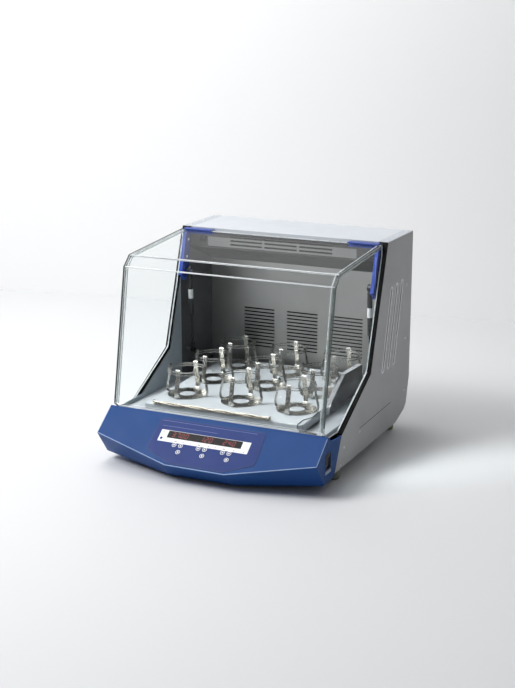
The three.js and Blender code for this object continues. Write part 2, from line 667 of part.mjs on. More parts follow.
function driveMotor() {
  const low = FRAME_Z + FRAME.sheet + GAP;
  const r = MOTOR_RADIUS;
  const shaftHole = [[0, 86], [4.6, 86], [4.6, low]];
  const can = [[r - 1, low], [r, low + 1], [r, MOTOR_TOP - 2], [r - 2, MOTOR_TOP], [0, MOTOR_TOP]];
  return turned([...shaftHole, ...can], 28).translate(...MOTOR, 0);
}

// The loop that wraps both pulleys, as an outline at one distance outside them
function beltLoop(grow, Path) {
  const [sx, sy] = SHAFT;
  const [mx, my] = MOTOR;
  const big = DRIVE_PULLEY_RADIUS + grow;
  const small = MOTOR_PULLEY_RADIUS + grow;
  const along = Math.atan2(my - sy, mx - sx);
  const spread = Math.acos((big - small) / Math.hypot(mx - sx, my - sy));
  const loop = new Path();
  loop.absarc(sx, sy, big, along + spread, along - spread + Math.PI * 2);
  loop.absarc(mx, my, small, along - spread, along + spread);
  loop.closePath();
  return loop;
}

function driveBelt() {
  const loop = beltLoop(3.3, THREE.Shape);
  loop.holes.push(beltLoop(GAP, THREE.Path));
  return extruded(loop, 7, 14).translate(0, 0, PULLEY_Z[0] + 2.5);
}

// ---------- air system ----------
function fanImpeller() {
  const { x, z, radius, rear, blades, blade_length, blade_height } = FAN;
  const hub = solid(turned([[0, 0], [radius, 0], [radius, 2], [16, 2], [14, 20], [0, 20]], 32));
  const tip = radius - 2;
  const vanes = [];
  for (let i = 0; i < blades; i += 1) {
    vanes.push(box(tip - blade_length, tip, -1, 1, 1, blade_height + 1).rotate([0, 0, (i * 360) / blades]));
  }
  return union([hub, ...vanes]).rotate([90, 0, 0]).translate([x, rear, z]);
}

function heaterElement() {
  const { half, y0, z0, core: size, fin, fin_pitch } = HEATER;
  const core = box(-half, half, y0, y0 + size, z0, z0 + size);
  const fins = [];
  for (let x = 10 - half; x <= half - 10; x += fin_pitch) {
    fins.push(box(x - 1, x + 1, y0 - fin, y0 + size + fin, z0 - fin, z0 + size + fin));
  }
  return union([core, ...fins]);
}

// ---------- assembly ----------
for (const [label, side] of [['left', -1], ['right', 1]]) {
  add(`side_panel_${label}`, mirrored(side, sidePanel), 'panel_paint');
  add(`chamber_wall_${label}`, mirrored(side, chamberWall), 'chamber_steel');
  add(`door_gasket_${label}`, mirrored(side, gasket), 'black_rubber');
  add(`hood_bracket_${label}`, mirrored(side, hoodBracket), 'bracket_blue');
  add(`strut_cylinder_${label}`, mirrored(side, strutCylinder), 'black_plastic');
  add(`strut_rod_${label}`, mirrored(side, strutRod), 'polished_steel');
  add(`guide_crank_${label}`, guideCrank(GUIDES[label]), 'machined_steel');
}
add('top_cover', topCover(), 'cover_paint');
add('rear_panel', rearPanel(), 'panel_paint');
add('base_plate', basePlate(), 'aluminium');
add('chamber_floor', chamberFloor(), 'tray_paint');
add('air_grille', airGrille(), 'chamber_steel');
add('upper_duct', upperDuct(), 'chamber_steel');
add('console_housing', consoleHousing(), 'console_paint');
add('control_panel', controlPanel(), 'panel_film');
add('display_window', slopePrism(slopeRectangle(DISPLAY), GAP, 1.2), 'black_plastic');
keys.forEach((key) => add(key.name, keyCap(key), 'key_film'));
add('power_rocker', powerRocker(), 'black_plastic');
add('power_inlet', powerInlet(), 'black_plastic');
add('hood', hoodShell(), 'clear_sheet');
add('platform', platformTray(), 'tray_paint');
add('side_guard', sideGuard(), 'polished_steel');
add('retaining_bar', retainingBar(), 'polished_steel');
['front', 'middle', 'rear'].forEach((row, j) => ['left', 'centre', 'right'].forEach((column, i) => {
  add(`flask_clamp_${row}_${column}`,
    flaskClamp((i - 1) * CLAMP_PITCH_X, CLAMP_CENTRE_Y + (j - 1) * CLAMP_PITCH_Y), 'polished_steel');
}));
add('platform_carrier', platformCarrier(), 'aluminium');
add('crank_shaft', crankShaft(), 'machined_steel');
add('drive_pulley', drivePulley(), 'aluminium');
add('drive_frame', driveFrame(), 'aluminium');
add('drive_motor', driveMotor(), 'black_plastic');
add('motor_pulley', motorPulley(), 'aluminium');
add('drive_belt', driveBelt(), 'black_rubber');
add('fan_impeller', fanImpeller(), 'aluminium');
add('heater_element', heaterElement(), 'aluminium');
for (const [end, [x, y]] of Object.entries(FOOT_PLACES)) {
  add(`foot_${end}_left`, foot(-x, y), 'black_rubber');
  add(`foot_${end}_right`, foot(x, y), 'black_rubber');
}

shaker.position.y = -(FRONT_Y + REAR_Y) / 2;

export default shaker;
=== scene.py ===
"""Benchtop incubating orbital shaker: the looks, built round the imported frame."""
import json
import math

import bmesh
import bpy
from mathutils import Matrix, Vector


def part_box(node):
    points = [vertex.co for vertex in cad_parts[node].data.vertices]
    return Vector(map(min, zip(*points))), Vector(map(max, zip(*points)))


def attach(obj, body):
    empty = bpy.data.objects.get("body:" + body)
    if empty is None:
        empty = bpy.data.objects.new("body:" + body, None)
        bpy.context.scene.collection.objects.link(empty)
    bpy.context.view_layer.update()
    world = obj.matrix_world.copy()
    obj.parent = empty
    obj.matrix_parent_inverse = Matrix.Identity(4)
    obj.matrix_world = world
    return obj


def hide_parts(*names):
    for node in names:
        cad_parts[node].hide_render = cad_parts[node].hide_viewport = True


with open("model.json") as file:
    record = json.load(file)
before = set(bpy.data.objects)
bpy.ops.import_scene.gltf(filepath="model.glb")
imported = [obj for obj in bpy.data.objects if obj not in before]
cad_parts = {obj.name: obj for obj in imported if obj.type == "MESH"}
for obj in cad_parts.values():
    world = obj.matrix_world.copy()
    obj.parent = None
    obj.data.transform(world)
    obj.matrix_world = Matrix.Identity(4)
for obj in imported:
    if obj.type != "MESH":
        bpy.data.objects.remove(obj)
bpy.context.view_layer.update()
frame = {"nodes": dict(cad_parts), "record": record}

# Lengths below are in millimetres in the design frame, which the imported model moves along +Y so that its
# origin is under the middle of the whole box.
MM = 0.001
SHIFT_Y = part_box("platform")[0].y / MM + 203
DESIGN = Matrix.Scale(MM, 4) @ Matrix.Translation((0, SHIFT_Y, 0))

SIDES = (("left", -1), ("right", 1))
SLOPE = math.radians(37.2)
SLOPE_TOP = (0, -230, 131)
OPENING = [(148, 520), (45, 210), (-143, 108)]
PANEL_X = 288
REAR_Y = 335
VENTS = [((130, 197), (181, 394)), ((169, 198), (220, 396)), ((208, 199), (259, 398))]
VENT_WIDTH = 12
PANEL_SCREWS = [(293, 385), (295, 242), (297, 100), (-26, 82), (-127, 74), (-150, 36)]
INLET = (-205, 165)
FOOT_PLACES = {"front": (270, -146), "rear": (258, 260)}
CHAMBER_X = 272
JAMB_Y = 103
HOOD_LINE = [(129.5, 515.97), (-145, 495), (-172, 470), (-232.6, 139.5)]
STRUT_X = 252
STRUT_TOP = (118, 408)
STRUT_ANCHOR = (132, 190)
TRAY_TOP = 140
CLAMP_COLUMNS = {"left": -150, "centre": 0, "right": 150}
CLAMP_ROWS = {"front": -93, "middle": 52, "rear": 197}
KEY_RADIUS = 6
KEY_GROUPS = ("temperature", "speed", "timer")
KEY_PLACES = {"down": (-8.5, 86), "up": (8.5, 86), "set": (8.5, 104)}
KEYS = [(i, action) for i in range(3) for action in KEY_PLACES]
PANEL_CENTRE_X = -3.5
CREASE_END_Y = -297.2
CREASE_MIDDLE_Y = -344.2
CREASE_MIDDLE_X = 78
ROCKER_PLACE = (-229, 71.5)
HOUSING_X = 290
ROOF_Z = 520
SILL_Z = 131
DUCT_Y = 153
DUCT_SLOT_COLUMNS = (-104, -6, 92)
DUCT_SLOT_ROWS = (477, 487)
SENSOR_PORT = (-228, DUCT_Y, 487)
GRILLE_COLUMNS = (-127, 0, 127)
GRILLE_Y = 288
FRONTWARD = (0, -1, 0)
REARWARD = (0, 1, 0)
UPWARD = (0, 0, 1)
SHARP_ANGLE = 40
LARGE_FACE = 2500 * MM * MM   # a face this large is lit as a flat one


# ---------- camera, floor and light ----------
def axes_matrix(right, up, back, place):
    """A turn whose local x, y and z are right, up and back, at a place."""
    rotation = Matrix((right, up, back)).transposed().to_4x4()
    return Matrix.Translation(place) @ rotation


def make_camera():
    """A camera that looks from the front right, a little from above."""
    azimuth = math.radians(25.317)
    elevation = math.radians(14.911)
    distance = 3.3861
    back = Vector((math.sin(azimuth) * math.cos(elevation), -math.cos(azimuth) * math.cos(elevation),
                   math.sin(elevation)))
    right = Vector((math.cos(azimuth), math.sin(azimuth), 0))
    up = back.cross(right)
    middle = DESIGN @ Vector((0, 0, 260))
    target = middle + right * 0.001 + up * 0.0039
    data = bpy.data.cameras.new("camera")
    data.lens = 70.68
    data.clip_end = 60
    camera = bpy.data.objects.new("camera", data)
    camera.matrix_world = axes_matrix(right, up, back, target + back * distance)
    bpy.context.scene.collection.objects.link(camera)
    bpy.context.scene.camera = camera


def area_light(name, place, aim, size, power, color=(1, 1, 1)):
    data = bpy.data.lights.new(name, "AREA")
    data.shape = "RECTANGLE"
    data.size, data.size_y = size
    data.energy = power
    data.color = color
    light = bpy.data.objects.new(name, data)
    direction = Vector(aim) - Vector(place)
    light.matrix_world = Matrix.Translation(place) @ direction.to_track_quat("-Z", "Y").to_matrix().to_4x4()
    bpy.context.scene.collection.objects.link(light)


def studio_sheet(name, corners, color, one_sided=False):
    """A large flat sheet of the studio. A one-sided sheet is open to whoever stands behind it."""
    mesh = bpy.data.meshes.new(name)
    mesh.from_pydata(corners, [], [(0, 1, 2, 3)])
    sheet = bpy.data.objects.new(name, mesh)
    bpy.context.scene.collection.objects.link(sheet)
    n = Nodes(name)
    n.set(Base_Color=(*color, 1), Roughness=0.6)
    if one_sided:
        geometry = n.tree.nodes.new("ShaderNodeNewGeometry")
        n.link(n.blend(geometry.outputs["Backfacing"], n.see_through((1, 1, 1))), n.output.inputs["Surface"])
    mesh.materials.append(n.material)


def make_studio():
    """A wide floor, a wall that the front views see, and soft lamps from the left and above."""
    wall_left, wall_right = Vector((-9.0, 0.0, 0)), Vector((9.0, 2.99, 0))
    raised = Vector((0, 0, 7))
    reach = 200
    floor = [(-reach, -reach, 0), (reach, -reach, 0), (reach, reach, 0), (-reach, reach, 0)]
    wall = [wall_left, wall_right, wall_right + raised, wall_left + raised]
    studio_sheet("floor", floor, (0.74, 0.745, 0.755))
    studio_sheet("back_wall", wall, (0.95, 0.95, 0.95), one_sided=True)
    world = bpy.data.worlds.new("soft_white")
    world.use_nodes = True
    background = world.node_tree.nodes["Background"]
    background.inputs["Color"].default_value = (0.93, 0.96, 1.0, 1)
    background.inputs["Strength"].default_value = 0.17
    bpy.context.scene.world = world
    bpy.context.scene.view_settings.view_transform = "Standard"
    area_light("key_light", (-2.1, -1.5, 2.9), (0, 0, 0.2), (1.5, 1.5), 110)
    area_light("top_light", (-0.9, 0.1, 3.3), (0, 0.2, 0.3), (2.4, 1.8), 42)


# ---------- materials ----------
class Nodes:
    """Short calls for building one material's node tree."""

    def __init__(self, name):
        self.material = bpy.data.materials.new(name)
        self.material.use_nodes = True
        self.tree = self.material.node_tree
        self.shader = self.tree.nodes["Principled BSDF"]
        self.output = self.tree.nodes["Material Output"]
        self.place = self.tree.nodes.new("ShaderNodeTexCoord").outputs["Object"]

    def set(self, **values):
        for name, value in values.items():
            self.shader.inputs[name.replace("_", " ")].default_value = value

    def link(self, source, target):
        self.tree.links.new(source, target)

    def noise(self, scale, detail=3, stretch=(1, 1, 1), rough=0.5):
        mapping = self.tree.nodes.new("ShaderNodeMapping")
        mapping.inputs["Scale"].default_value = stretch
        self.link(self.place, mapping.inputs["Vector"])
        node = self.tree.nodes.new("ShaderNodeTexNoise")
        node.inputs["Scale"].default_value = scale
        node.inputs["Detail"].default_value = detail
        node.inputs["Roughness"].default_value = rough
        self.link(mapping.outputs["Vector"], node.inputs["Vector"])
        return node.outputs["Fac"]

    def ramp(self, source, low, high, to_low=0.0, to_high=1.0):
        node = self.tree.nodes.new("ShaderNodeMapRange")
        node.inputs["From Min"].default_value = low
        node.inputs["From Max"].default_value = high
        node.inputs["To Min"].default_value = to_low
        node.inputs["To Max"].default_value = to_high
        self.link(source, node.inputs["Value"])
        return node.outputs["Result"]

    def math(self, operation, a, b):
        node = self.tree.nodes.new("ShaderNodeMath")
        node.operation = operation
        for socket, value in zip(node.inputs, (a, b)):
            if isinstance(value, (int, float)):
                socket.default_value = value
            else:
                self.link(value, socket)
        return node.outputs["Value"]

    def mix(self, factor, a, b):
        node = self.tree.nodes.new("ShaderNodeMix")
        node.data_type = "RGBA"
        self.link(factor, node.inputs["Factor"])
        for name, value in (("A", a), ("B", b)):
            socket = next(s for s in node.inputs if s.name == name and s.type == "RGBA")
            if isinstance(value, tuple):
                socket.default_value = (*value, 1)
            else:
                self.link(value, socket)
        return next(s for s in node.outputs if s.type == "RGBA")

    def see_through(self, color):
        node = self.tree.nodes.new("ShaderNodeBsdfTransparent")
        node.inputs["Color"].default_value = (*color, 1)
        return node.outputs["BSDF"]

    def blend(self, factor, other):
        """The surface, giving way to another shader where the factor is 1."""
        node = self.tree.nodes.new("ShaderNodeMixShader")
        self.link(factor, node.inputs["Fac"])
        self.link(self.shader.outputs["BSDF"], node.inputs[1])
        self.link(other, node.inputs[2])
        return node.outputs["Shader"]

    def bump(self, height, strength, distance):
        node = self.tree.nodes.new("ShaderNodeBump")
        node.inputs["Strength"].default_value = strength
        node.inputs["Distance"].default_value = distance
        self.link(height, node.inputs["Height"])
        self.link(node.outputs["Normal"], self.shader.inputs["Normal"])

    def worn_edges(self, radius, spread=0.35):
        """1 on rounded-off edges, broken up by noise, and 0 on flat faces."""
        bevel = self.tree.nodes.new("ShaderNodeBevel")
        bevel.samples = 4
        bevel.inputs["Radius"].default_value = radius
        geometry = self.tree.nodes.new("ShaderNodeNewGeometry")
        dot = self.tree.nodes.new("ShaderNodeVectorMath")
        dot.operation = "DOT_PRODUCT"
        self.link(bevel.outputs["Normal"], dot.inputs[0])
        self.link(geometry.outputs["Normal"], dot.inputs[1])
        edge = self.ramp(dot.outputs["Value"], 0.98, 0.86)
        broken = self.ramp(self.noise(160, 4), 0.5 - spread / 2, 0.5 + spread / 2)
        return self.math("MULTIPLY", edge, broken)


def shade(color, factor):
    return tuple(min(1.0, c * factor) for c in color)


def painted(name, color, roughness=0.5, grain=1400, relief=0.12, spread=0.05, wear=0.35, gloss=0.5):
    """Powder coat or paint: fine grain, faint cloudiness, edges rubbed a little lighter."""
    n = Nodes(name)
    cloud = n.ramp(n.noise(9, 4), 0.3, 0.7)
    base = n.mix(cloud, shade(color, 1 - spread), shade(color, 1 + spread))
    worn = n.math("MULTIPLY", n.worn_edges(0.0012), wear)
    lighter = tuple(c + (0.75 - c) * 0.5 for c in color)
    n.link(n.mix(worn, base, lighter), n.shader.inputs["Base Color"])
    smudge = n.ramp(n.noise(26, 5), 0.3, 0.75, roughness - 0.06, roughness + 0.08)
    n.link(smudge, n.shader.inputs["Roughness"])
    n.bump(n.noise(grain, 2), relief, 0.0004)
    n.set(Specular_IOR_Level=gloss)
    return n.material


def metal(name, color, roughness=0.3, brush=(1, 1, 40), relief=0.04, spread=0.08):
    """Sheet or turned metal: fine brushed lines along one direction and slight smudging."""
    n = Nodes(name)
    lines = n.noise(60, 6, brush, 0.7)
    smudge = n.noise(22, 4)
    n.link(n.mix(smudge, shade(color, 1 - spread), shade(color, 1 + spread)), n.shader.inputs["Base Color"])
    along_lines = n.ramp(lines, 0.3, 0.7, -0.07, 0.07)
    smudged = n.ramp(smudge, 0.3, 0.7, roughness - 0.04, roughness + 0.06)
    n.link(n.math("ADD", along_lines, smudged), n.shader.inputs["Roughness"])
    n.bump(lines, relief, 0.0003)
    n.set(Metallic=1.0)
    return n.material


def moulded(name, color, roughness=0.5, grain=900, relief=0.1, spread=0.08, gloss=0.5):
    """Moulded plastic or rubber: soft grain and slight mottling."""
    n = Nodes(name)
    mottled = n.mix(n.noise(30, 4), shade(color, 1 - spread), shade(color, 1 + spread))
    n.link(mottled, n.shader.inputs["Base Color"])
    n.link(n.ramp(n.noise(60, 4), 0.3, 0.7, roughness - 0.06, roughness + 0.08), n.shader.inputs["Roughness"])
    n.bump(n.noise(grain, 3), relief, 0.0003)
    n.set(Specular_IOR_Level=gloss)
    return n.material


def clear_sheet(name, tint, roughness, index=1.06):
    """Clear acrylic that lets lamp light through to what it covers."""
    n = Nodes(name)
    n.set(Base_Color=(*tint, 1), IOR=index, Transmission_Weight=1.0)
    n.link(n.ramp(n.noise(14, 5), 0.35, 0.75, roughness, roughness + 0.02), n.shader.inputs["Roughness"])
    path = n.tree.nodes.new("ShaderNodeLightPath")
    surface = n.blend(path.outputs["Is Shadow Ray"], n.see_through(shade(tint, 0.97)))
    n.link(surface, n.output.inputs["Surface"])
    return n.material


def sheet_highlight(name, color, roughness):
    """Cut and bent edges of clear sheet: a pale, partly clear finish, painted highlight for the light they
    gather.
    """
    n = Nodes(name)
    n.set(IOR=1.49, Transmission_Weight=0.2)
    n.link(n.mix(n.noise(45, 3), shade(color, 0.93), shade(color, 1.05)), n.shader.inputs["Base Color"])
    n.link(n.ramp(n.noise(80, 3), 0.3, 0.7, roughness - 0.08, roughness + 0.1), n.shader.inputs["Roughness"])
    return n.material


def lit(name, color, strength):
    n = Nodes(name)
    n.set(Roughness=0.4, Emission_Color=(*color, 1), Emission_Strength=strength)
    n.link(n.mix(n.noise(200, 2), shade(color, 0.85), shade(color, 1.1)), n.shader.inputs["Base Color"])
    return n.material


def make_materials():
    return {
        "panel_paint": painted("panel_paint", (0.45, 0.45, 0.455), 0.5, gloss=0.3),
        "cover_paint": painted("cover_paint", (0.56, 0.59, 0.63), 0.45, spread=0.03),
        "console_paint": painted("console_paint", (0.015, 0.066, 0.235), 0.42, relief=0.06, wear=0.2,
                                 gloss=0.12),
        "bracket_blue": moulded("bracket_blue", (0.034, 0.072, 0.34), 0.4, relief=0.04, gloss=0.12),
        "chamber_steel": metal("chamber_steel", (0.48, 0.475, 0.465), 0.42, (1, 1, 12)),
        "tray_paint": painted("tray_paint", (0.44, 0.47, 0.495), 0.4, relief=0.08, spread=0.03),
        "floor_paint": painted("floor_paint", (0.36, 0.385, 0.41), 0.4, relief=0.08, spread=0.03),
        "polished_steel": metal("polished_steel", (0.66, 0.66, 0.65), 0.18, (1, 30, 1)),
        "clamp_steel": metal("clamp_steel", (0.50, 0.49, 0.46), 0.26, (6, 6, 1), 0.0),
        "machined_steel": metal("machined_steel", (0.42, 0.43, 0.45), 0.3, (1, 1, 60)),
        "sheet_aluminium": metal("sheet_aluminium", (0.62, 0.63, 0.65), 0.38, (30, 1, 1)),
        "seal_rubber": moulded("seal_rubber", (0.008, 0.008, 0.008), 0.7, gloss=0.15),
        "foot_rubber": moulded("foot_rubber", (0.20, 0.21, 0.17), 0.65),
        "black_plastic": moulded("black_plastic", (0.022, 0.022, 0.024), 0.42),
        "display_black": moulded("display_black", (0.006, 0.003, 0.004), 0.3, relief=0.01, gloss=0.15),
        "panel_film": moulded("panel_film", (0.026, 0.050, 0.205), 0.4, relief=0.05, gloss=0.12),
        "key_film": moulded("key_film", (0.026, 0.050, 0.22), 0.42, relief=0.04, gloss=0.12),
        "clear_sheet": clear_sheet("clear_sheet", (0.97, 0.985, 0.985), 0.015),
        "clear_bead": clear_sheet("clear_bead", (0.55, 0.60, 0.59), 0.05, 1.49),
        "edge_shade": moulded("edge_shade", (0.09, 0.105, 0.10), 0.3, relief=0.02),
        "sheet_rim_highlight": sheet_highlight("sheet_rim_highlight", (0.80, 0.84, 0.86), 0.3),
        "bend_highlight": sheet_highlight("bend_highlight", (0.66, 0.69, 0.71), 0.2),
        # painted shade: a near-black copy of the chamber's steel, for the shade on the side walls behind the
        # jamb
        "chamber_shade": painted("chamber_shade", (0.085, 0.088, 0.092), 0.5),
        "jamb_paint": painted("jamb_paint", (0.31, 0.36, 0.40), 0.45),
        # painted light: a lighter, bluer copy of the panel paint for the lit tops of the side panels
        "roof_painted_light": painted("roof_painted_light", (0.47, 0.50, 0.54), 0.5, spread=0.03),
        "black_rod": metal("black_rod", (0.05, 0.05, 0.052), 0.3, (1, 1, 60)),
        "duct_steel": metal("duct_steel", (0.10, 0.099, 0.097), 0.55, (30, 1, 1)),
        "duct_plate": metal("duct_plate", (0.30, 0.30, 0.295), 0.4, (30, 1, 1)),
        # painted light: a pale finish for the lit top lip of the dark guard plate
        "guard_top_painted_light": moulded("guard_top_painted_light", (0.42, 0.43, 0.45), 0.3, relief=0.03),
        "guard_steel": metal("guard_steel", (0.13, 0.135, 0.14), 0.2, (1, 30, 1)),
        # painted highlight: near-white rims standing in for the light caught on the vents' pressed edges
        "rim_highlight": moulded("rim_highlight", (0.95, 0.95, 0.97), 0.35, relief=0.03, spread=0.03),
        # painted highlight: a pale blue for the light caught along the console's crease and slope edges
        "console_highlight": painted("console_highlight", (0.28, 0.40, 0.65), 0.3, relief=0.06),
        # painted glint: a near-white finish standing in for the highlights on steel screw heads and edges
        "painted_glint": moulded("painted_glint", (0.86, 0.86, 0.87), 0.3, relief=0.03),
        "bright_wire": metal("bright_wire", (0.34, 0.31, 0.27), 0.24, relief=0.0),
        "brass": metal("brass", (0.55, 0.42, 0.2), 0.35),
        "foot_rear": moulded("foot_rear", (0.27, 0.28, 0.15), 0.65),
        "dark_line": moulded("dark_line", (0.012, 0.012, 0.013), 0.6, gloss=0.15),
        "film_dark": moulded("film_dark", (0.015, 0.03, 0.14), 0.4),
        "print_white": moulded("print_white", (0.93, 0.94, 0.96), 0.42, spread=0.02),
        "print_pale": moulded("print_pale", (0.22, 0.27, 0.52), 0.42),
        "tag_pale": moulded("tag_pale", (0.30, 0.36, 0.47), 0.4),
        "label_white": moulded("label_white", (0.72, 0.73, 0.74), 0.5),
        "digit_red": lit("digit_red", (0.30, 0.006, 0.008), 0.22),
    }


# ---------- shapes, drawn in millimetres in the design frame ----------
def placed(u, v, origin=(0, 0, 0)):
    """The frame of a flat drawing: its two axes and its zero. Its thickness runs along u x v."""
    u, v = Vector(u), Vector(v)
    return Matrix.Translation(origin) @ Matrix((u, v, u.cross(v))).transposed().to_4x4()


def side_on(x=0):
    """A drawing in (y, z), its thickness along +X."""
    return placed((0, 1, 0), (0, 0, 1), (x, 0, 0))


def front_on(y=0):
    """A drawing in (x, z), its thickness along -Y, towards the front."""
    return placed((1, 0, 0), (0, 0, 1), (0, y, 0))


def flat_on(z=0):
    """A drawing in (x, y), its thickness along +Z."""
    return placed((1, 0, 0), (0, 1, 0), (0, 0, z))


def on_slope(height=0):
    """A drawing in x and the distance up the console's slope, its thickness out of the slope."""
    along = (0, math.cos(SLOPE), math.sin(SLOPE))
    return placed((1, 0, 0), along, SLOPE_TOP) @ Matrix.Translation((0, 0, height))


def turn_about(direction, origin):
    """A frame whose third axis runs along a direction, for turned shapes."""
    rotation = Vector(direction).to_track_quat("Z", "Y").to_matrix().to_4x4()
    return Matrix.Translation(origin) @ rotation


def rounded(points, radius, steps=5, closed=True):
    """A polygon or a polyline whose corners are arcs. radius is one number, or one for each corner."""
    radii = radius if isinstance(radius, (list, tuple)) else [radius] * len(points)
    result = []
    for i, (point, r) in enumerate(zip(points, radii)):
        here = Vector(point)
        if r == 0 or (not closed and i in (0, len(points) - 1)):
            result.append(here)
            continue
        before = (Vector(points[i - 1]) - here).normalized()
        after = (Vector(points[(i + 1) % len(points)]) - here).normalized()
        half = before.angle(after) / 2
        centre = here + (before + after).normalized() * (r / math.sin(half))
        start = here + before * (r / math.tan(half)) - centre
        end = here + after * (r / math.tan(half)) - centre
        sweep = math.atan2(start.x * end.y - start.y * end.x, start.dot(end))
        for k in range(steps + 1):
            c, s = math.cos(sweep * k / steps), math.sin(sweep * k / steps)
            result.append(centre + Vector((start.x * c - start.y * s, start.x * s + start.y * c)))
    return result


def rectangle(u0, u1, v0, v1):
    return [(u0, v0), (u1, v0), (u1, v1), (u0, v1)]


def around(u, v, half_width, half_height):
    """A rectangle about its middle."""
    return rectangle(u - half_width, u + half_width, v - half_height, v + half_height)


def circle(radius, centre=(0, 0), segments=32):
    turns = [2 * math.pi * k / segments for k in range(segments)]
    return [(centre[0] + radius * math.cos(t), centre[1] + radius * math.sin(t)) for t in turns]


def stadium(a, b, radius, steps=8):
    """A slot with round ends, from a to b."""
    a, b = Vector(a), Vector(b)
    along = math.atan2(b.y - a.y, b.x - a.x)
    outline = []
    for end, start in ((b, along - math.pi / 2), (a, along + math.pi / 2)):
        for k in range(steps + 1):
            turn = start + math.pi * k / steps
            outline.append(end + Vector((math.cos(turn), math.sin(turn))) * radius)
    return outline


def moved_sideways(points, distance):
    """A polyline moved to the left of its direction."""
    points = [Vector(p) for p in points]
    steps = [(b - a).normalized() for a, b in zip(points, points[1:])]
    normals = [Vector((-s.y, s.x)) for s in steps]
    result = []
    for i, point in enumerate(points):
        a, b = normals[max(i - 1, 0)], normals[min(i, len(normals) - 1)]
        result.append(point + (a + b) * (distance / (1 + a.dot(b))))
    return result


def strip(points, low, high):
    """The outline between two offsets of a polyline."""
    return moved_sideways(points, low) + moved_sideways(points, high)[::-1]


def curve_mesh(curve, place):
    """A curve's surface as a clean mesh."""
    helper = bpy.data.objects.new("helper", curve)
    mesh = bpy.data.meshes.new_from_object(helper)
    bpy.data.objects.remove(helper)
    bpy.data.curves.remove(curve)
    bm = bmesh.new()
    bm.from_mesh(mesh)
    bmesh.ops.remove_doubles(bm, verts=bm.verts, dist=0.002)
    bmesh.ops.recalc_face_normals(bm, faces=bm.faces)
    bm.to_mesh(mesh)
    bm.free()
    mesh.transform(place)
    return mesh


def plate(outline, low, high, place, holes=(), edge=0.3, steps=1):
    """A flat plate from one height to another, its outline and its holes with rounded rims."""
    curve = bpy.data.curves.new("plate", "CURVE")
    curve.dimensions = "2D"
    curve.fill_mode = "BOTH"
    curve.extrude = (high - low) / 2 - edge
    curve.bevel_depth = edge
    curve.bevel_resolution = steps
    curve.offset = -edge
    for ring in (outline, *holes):
        spline = curve.splines.new("POLY")
        spline.points.add(len(ring) - 1)
        for point, (u, v) in zip(spline.points, ring):
            point.co = (u, v, 0, 1)
        spline.use_cyclic_u = True
    return curve_mesh(curve, place @ Matrix.Translation((0, 0, (low + high) / 2)))


def wire(points, radius, closed=False, sides=2):
    """A round wire along a path."""
    curve = bpy.data.curves.new("wire", "CURVE")
    curve.dimensions = "3D"
    curve.bevel_depth = radius
    curve.bevel_resolution = sides
    curve.use_fill_caps = not closed
    spline = curve.splines.new("POLY")
    spline.points.add(len(points) - 1)
    for point, place in zip(spline.points, points):
        point.co = (*place, 1)
    spline.use_cyclic_u = closed
    return curve_mesh(curve, Matrix())


def turned(profile, place, segments=32):
    """A (radius, height) profile turned about the third axis of a frame; it ends on the axis or closes."""
    bm = bmesh.new()
    rings = []
    for radius, height in profile:
        if radius < 1e-6:
            rings.append([bm.verts.new((0, 0, height))] * segments)
        else:
            rings.append([bm.verts.new((u, v, height)) for u, v in circle(radius, (0, 0), segments)])
    pairs = list(zip(rings, rings[1:]))
    if profile[0][0] > 1e-6:
        pairs.append((rings[-1], rings[0]))
    for low, high in pairs:
        for k in range(segments):
            corners = [low[k], low[(k + 1) % segments], high[(k + 1) % segments], high[k]]
            unique = list(dict.fromkeys(corners))
            if len(unique) > 2:
                bm.faces.new(unique)
    bmesh.ops.recalc_face_normals(bm, faces=bm.faces)
    mesh = bpy.data.meshes.new("turned")
    bm.to_mesh(mesh)
    bm.free()
    mesh.transform(place)
    return mesh


def ball(radius, centre, segments=20):
    profile = [(radius * math.sin(math.pi * k / 10), -radius * math.cos(math.pi * k / 10)) for k in range(11)]
    return turned([(0 if r < 1e-4 else r, h) for r, h in profile], Matrix.Translation(centre), segments)


def screw_head(direction, origin, radius=3.2):
    """A button head with a round socket, standing on a face."""
    socket = [(0, 0.2), (0.4, 0.2), (0.44, 0.55)]
    dome = [(0.62, 0.56), (0.86, 0.4), (1, 0.12)]
    profile = [(r * radius, h * radius) for r, h in socket + dome] + [(radius, -0.1), (0, -0.1)]
    return turned(profile, turn_about(direction, origin), 18)


def joined(meshes):
    """Several meshes as one."""
    bm = bmesh.new()
    for mesh in meshes:
        bm.from_mesh(mesh)
        bpy.data.meshes.remove(mesh)
    result = bpy.data.meshes.new("joined")
    bm.to_mesh(result)
    bm.free()
    return result


# ---------- putting pieces into the scene ----------
RECORD = frame["record"]
NODE_SLOTS = {row["node"]: row["material_slot"] for row in RECORD["subparts"]}
NODE_BODIES = {node: body for body, nodes in RECORD["behaviour"]["bodies"].items() for node in nodes}


def shade_softly(piece):
    """Smooth faces that keep flat ones flat, and stay sharp past an angle."""
    piece.data.shade_smooth()
    piece.data.set_sharp_from_angle(angle=math.radians(SHARP_ANGLE))
    weighted = piece.modifiers.new("weighted_normals", "WEIGHTED_NORMAL")
    weighted.keep_sharp = True


def piece(name, mesh, body, slot, finish=None, stands_for=()):
    """Puts a mesh, or a list of them, that is drawn in millimetres in the design frame into the scene."""
    mesh = joined(mesh) if isinstance(mesh, list) else mesh
    mesh.transform(DESIGN)
    return show(name, mesh, body, slot, finish, stands_for)


def show(name, mesh, body, slot, finish=None, stands_for=()):
    mesh.name = name
    new = bpy.data.objects.new(name, mesh)
    bpy.context.scene.collection.objects.link(new)
    mesh.materials.clear()
    mesh.materials.append(MATERIALS[finish or slot])
    shade_softly(new)
    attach(new, body)
    if stands_for:
        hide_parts(*stands_for)
    return new


def paint_faces(target, finish, chosen):
    """Gives a second finish to the faces whose middle, in design millimetres, and normal pass a test."""
    target.data.materials.append(MATERIALS[finish])
    index = len(target.data.materials) - 1
    back = DESIGN.inverted()
    for face in target.data.polygons:
        if chosen(back @ face.center, face.normal):
            face.material_index = index


